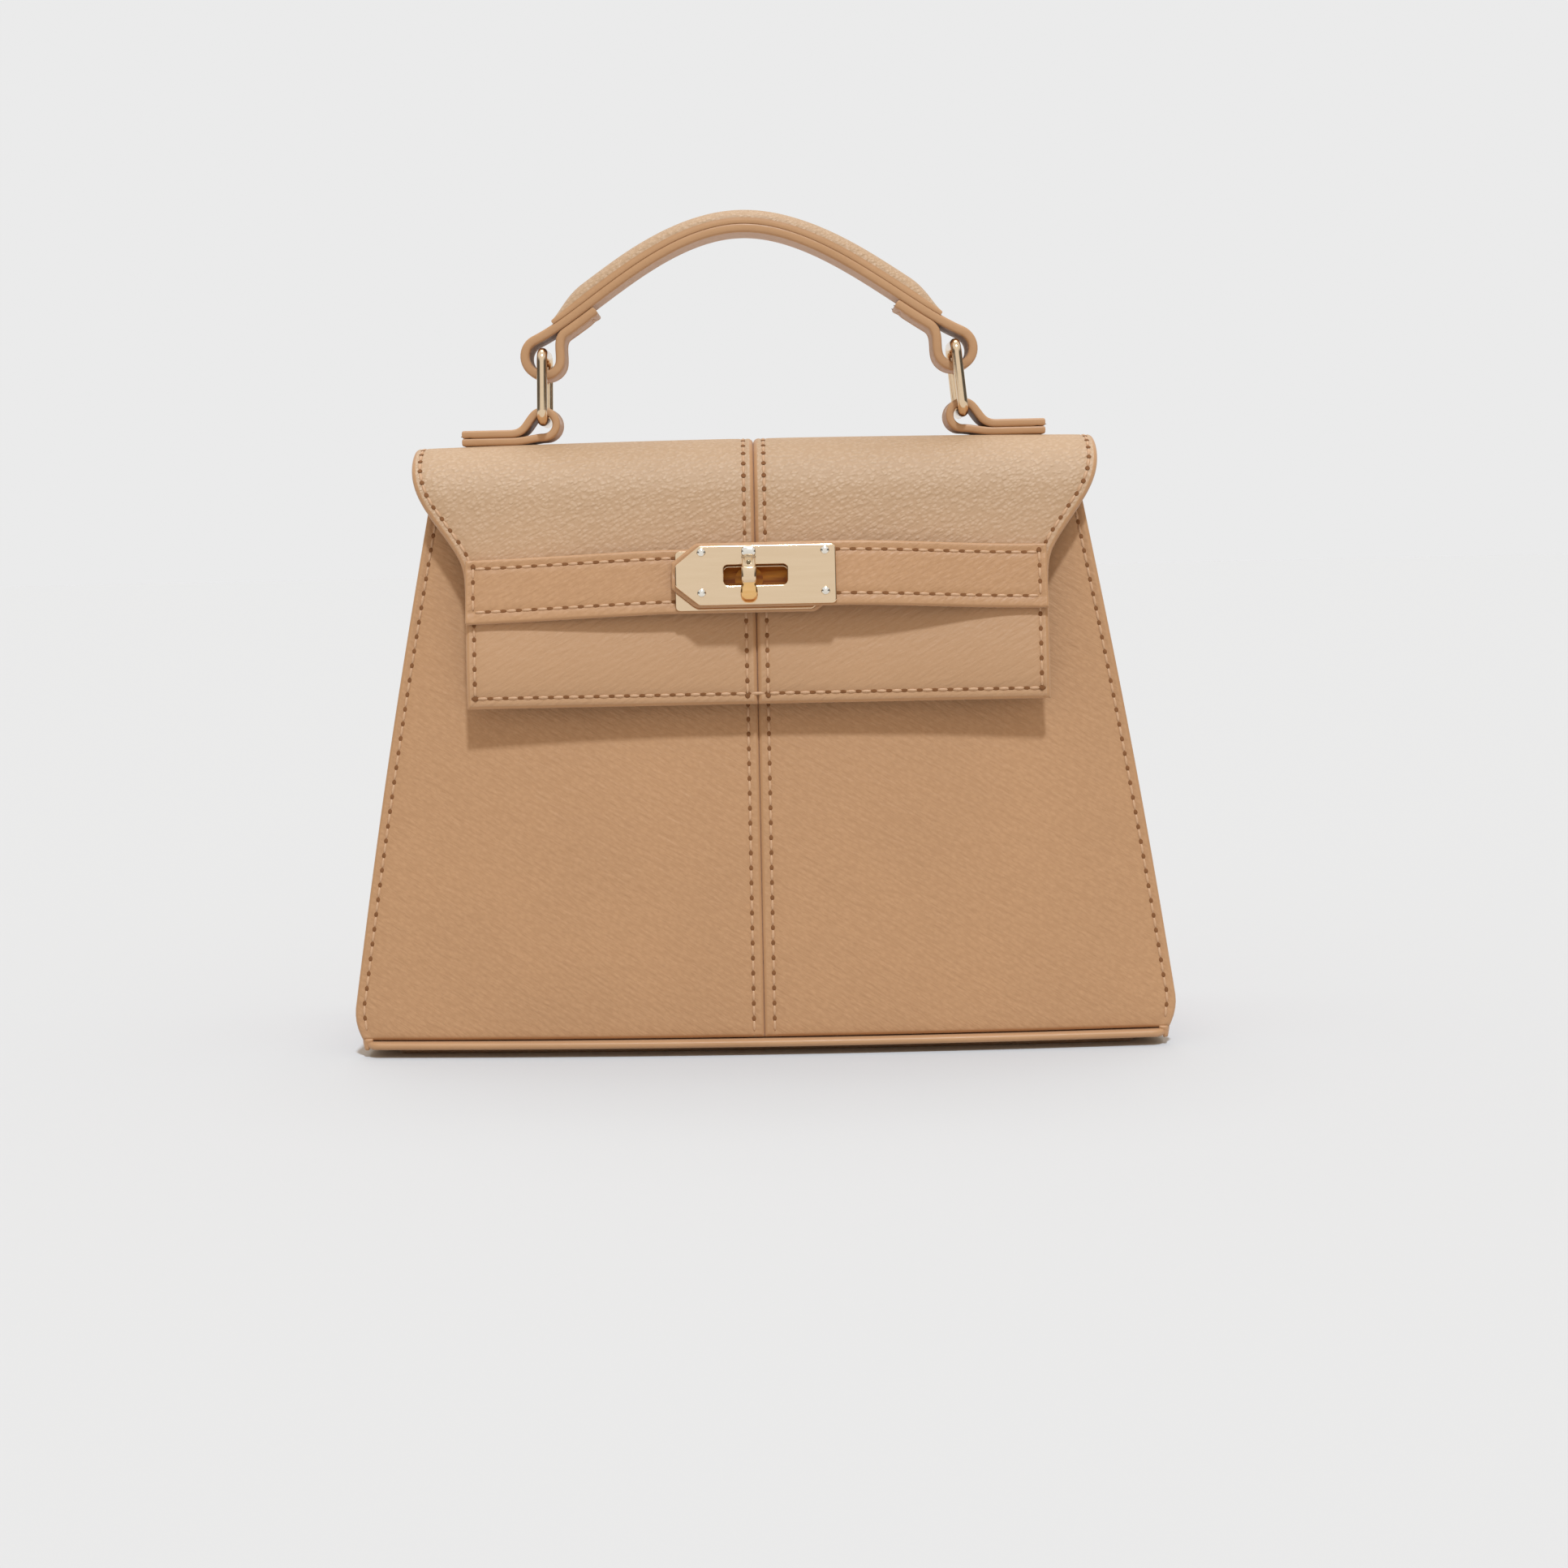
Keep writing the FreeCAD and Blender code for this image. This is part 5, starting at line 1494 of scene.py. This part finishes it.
def core_swell(a, b):
    return 0.6 * cover_swell(a, b)


core_cut = lay_strip(cover_line, 1, COVER_LEATHER / 2, 0.3 * MM, (0, 0, 0, 0), -1)
core_cut.edges = core_edges
core_cut.low += COVER_TAPER
core_cut.high -= COVER_TAPER
core_cut.swell = core_swell
add_sheet("handle_padding", core_cut, (10, 60), (foam,) * 3, "handle", "handle_core", "soft_filler")
tail_seam = handle_line.lengths[-1] - (TAIL_LENGTH - 6 * MM)
tail_runs = ((SEAM_END, tail_seam), (tail_seam, SEAM_END))
rows = [strap_cut.seam(side, *run) for run in tail_runs for side in (0, 1)]
rows += [strap_cut.seam(end, SEAM_END, SEAM_END) for end in (2, 3)]
sew("handle_stitches", "handle", *rows)


# Pieces kept from the frame
# The hidden metal of the lock and the snap, and the board over the base panel, with their materials.

board = mottled("fibre_board", (0.11, 0.065, 0.035), (0.22, 0.14, 0.085), 700.0, 0.06 * MM, 0.85)
# The lock's base and rivets take the slot's painted reflection and shade.
KEPT = {
    "lock_base": slot_reflection_and_shade, "lock_backing": gold, "lock_rivets": slot_reflection_and_shade, "rear_plate_rivets": gold,
    "toggle_spindle": gold, "spindle_washer": gold, "snap_washer": gold,
    "base_board": board,
}
for node, material in KEPT.items():
    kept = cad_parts[node]
    kept.data.materials.clear()
    kept.data.materials.append(material)


# Studio
# A pale floor that runs into a pale background, a key light from above the front and slightly from the
# right, a softer one from above the back, an even fill, and dark flags at the sides that show only in
# reflections. The camera stands at the photograph's height and angle.

scene = bpy.context.scene
scene.view_settings.view_transform = "Standard"
BACKGROUND = 0.83
FILL_LOW = 0.44
FILL_HIGH = 0.58
FLAG_TONE = 0.1
FILL_TINT = (1.2, 1, 0.77)
FLOOR_REACH = 8

floor_mesh = bpy.data.meshes.new("studio_floor")
floor_corners = [(x * FLOOR_REACH, y * FLOOR_REACH, 0) for x, y in ((-1, -1), (1, -1), (1, 1), (-1, 1))]
floor_mesh.from_pydata(floor_corners, [], [(0, 1, 2, 3)])
studio_floor = in_scene("studio_floor", floor_mesh)
floor_material, floor_nodes, floor_shader = new_material("studio_floor")
set_inputs(floor_nodes, floor_shader, {
    "Base Color": (0.601, 0.609, 0.618, 1),
    "Roughness": 1,
    "Specular IOR Level": 0,
})
floor_mesh.materials.append(floor_material)


def add_sun(name, energy, angle, elevation, azimuth, colour):
    """A far light: azimuth is measured from the front towards the right."""
    data = bpy.data.lights.new(name, "SUN")
    data.energy = energy
    data.angle = math.radians(angle)
    data.color = colour
    sun = in_scene(name, data)
    way = Matrix.Rotation(math.radians(azimuth), 3, "Z") @ Vector((0, -1, math.tan(math.radians(elevation))))
    sun.rotation_euler = way.to_track_quat("Z", "Y").to_euler()


add_sun("key", 2.2, 5, 62, 9, (0.86, 1, 1.16))
add_sun("overhead", 0.7, 35, 68, 180, (1, 1, 1))

world = bpy.data.worlds.new("studio")
scene.world = world
world.use_nodes = True
world_nodes = world.node_tree
ray = add_node(world_nodes, "ShaderNodeLightPath").outputs
sky_place = add_node(world_nodes, "ShaderNodeTexCoord")
sky_axes = add_node(world_nodes, "ShaderNodeSeparateXYZ", {0: sky_place.outputs["Generated"]}).outputs
sky = ranged(world_nodes, sky_axes["Z"], low=FILL_LOW, high=FILL_HIGH)
side_flags = ranged(world_nodes, maths(world_nodes, "ABSOLUTE", sky_axes["X"]), 0.55, 0.8)
low_flags = ranged(world_nodes, sky_axes["Z"], 0.6, 0.3)
flags = maths(world_nodes, "MULTIPLY", side_flags, low_flags)
mirrored = ranged(world_nodes, flags, low=BACKGROUND, high=FLAG_TONE)
around = add_node(world_nodes, "ShaderNodeMix", {0: ray["Is Glossy Ray"], 2: sky, 3: mirrored})
seen = add_node(world_nodes, "ShaderNodeMix", {
    0: ray["Is Camera Ray"],
    2: around.outputs[0],
    3: BACKGROUND,
})
straight = maths(world_nodes, "MAXIMUM", ray["Is Camera Ray"], ray["Is Glossy Ray"])
set_inputs(world_nodes, world_nodes.nodes["Background"], {
    "Color": mixed(world_nodes, straight, FILL_TINT, (1, 1, 1)),
    "Strength": seen.outputs[0],
})

camera_data = bpy.data.cameras.new("camera")
camera_data.lens = 60
camera_data.sensor_width = 36
camera_data.shift_x = 0.05329
camera_data.shift_y = -0.05167
camera = in_scene("camera", camera_data)
camera.location = (0.00112, -0.74632, 0.1425)
camera.rotation_euler = (
    Matrix.Rotation(math.radians(1.3575), 3, "Z")
    @ Matrix.Rotation(math.radians(86.2), 3, "X")
    @ Matrix.Rotation(math.radians(-1.2351), 3, "Z")
).to_euler()
scene.camera = camera
studio_floor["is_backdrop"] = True


# The size of the bag, with the floor left out.

low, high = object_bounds()
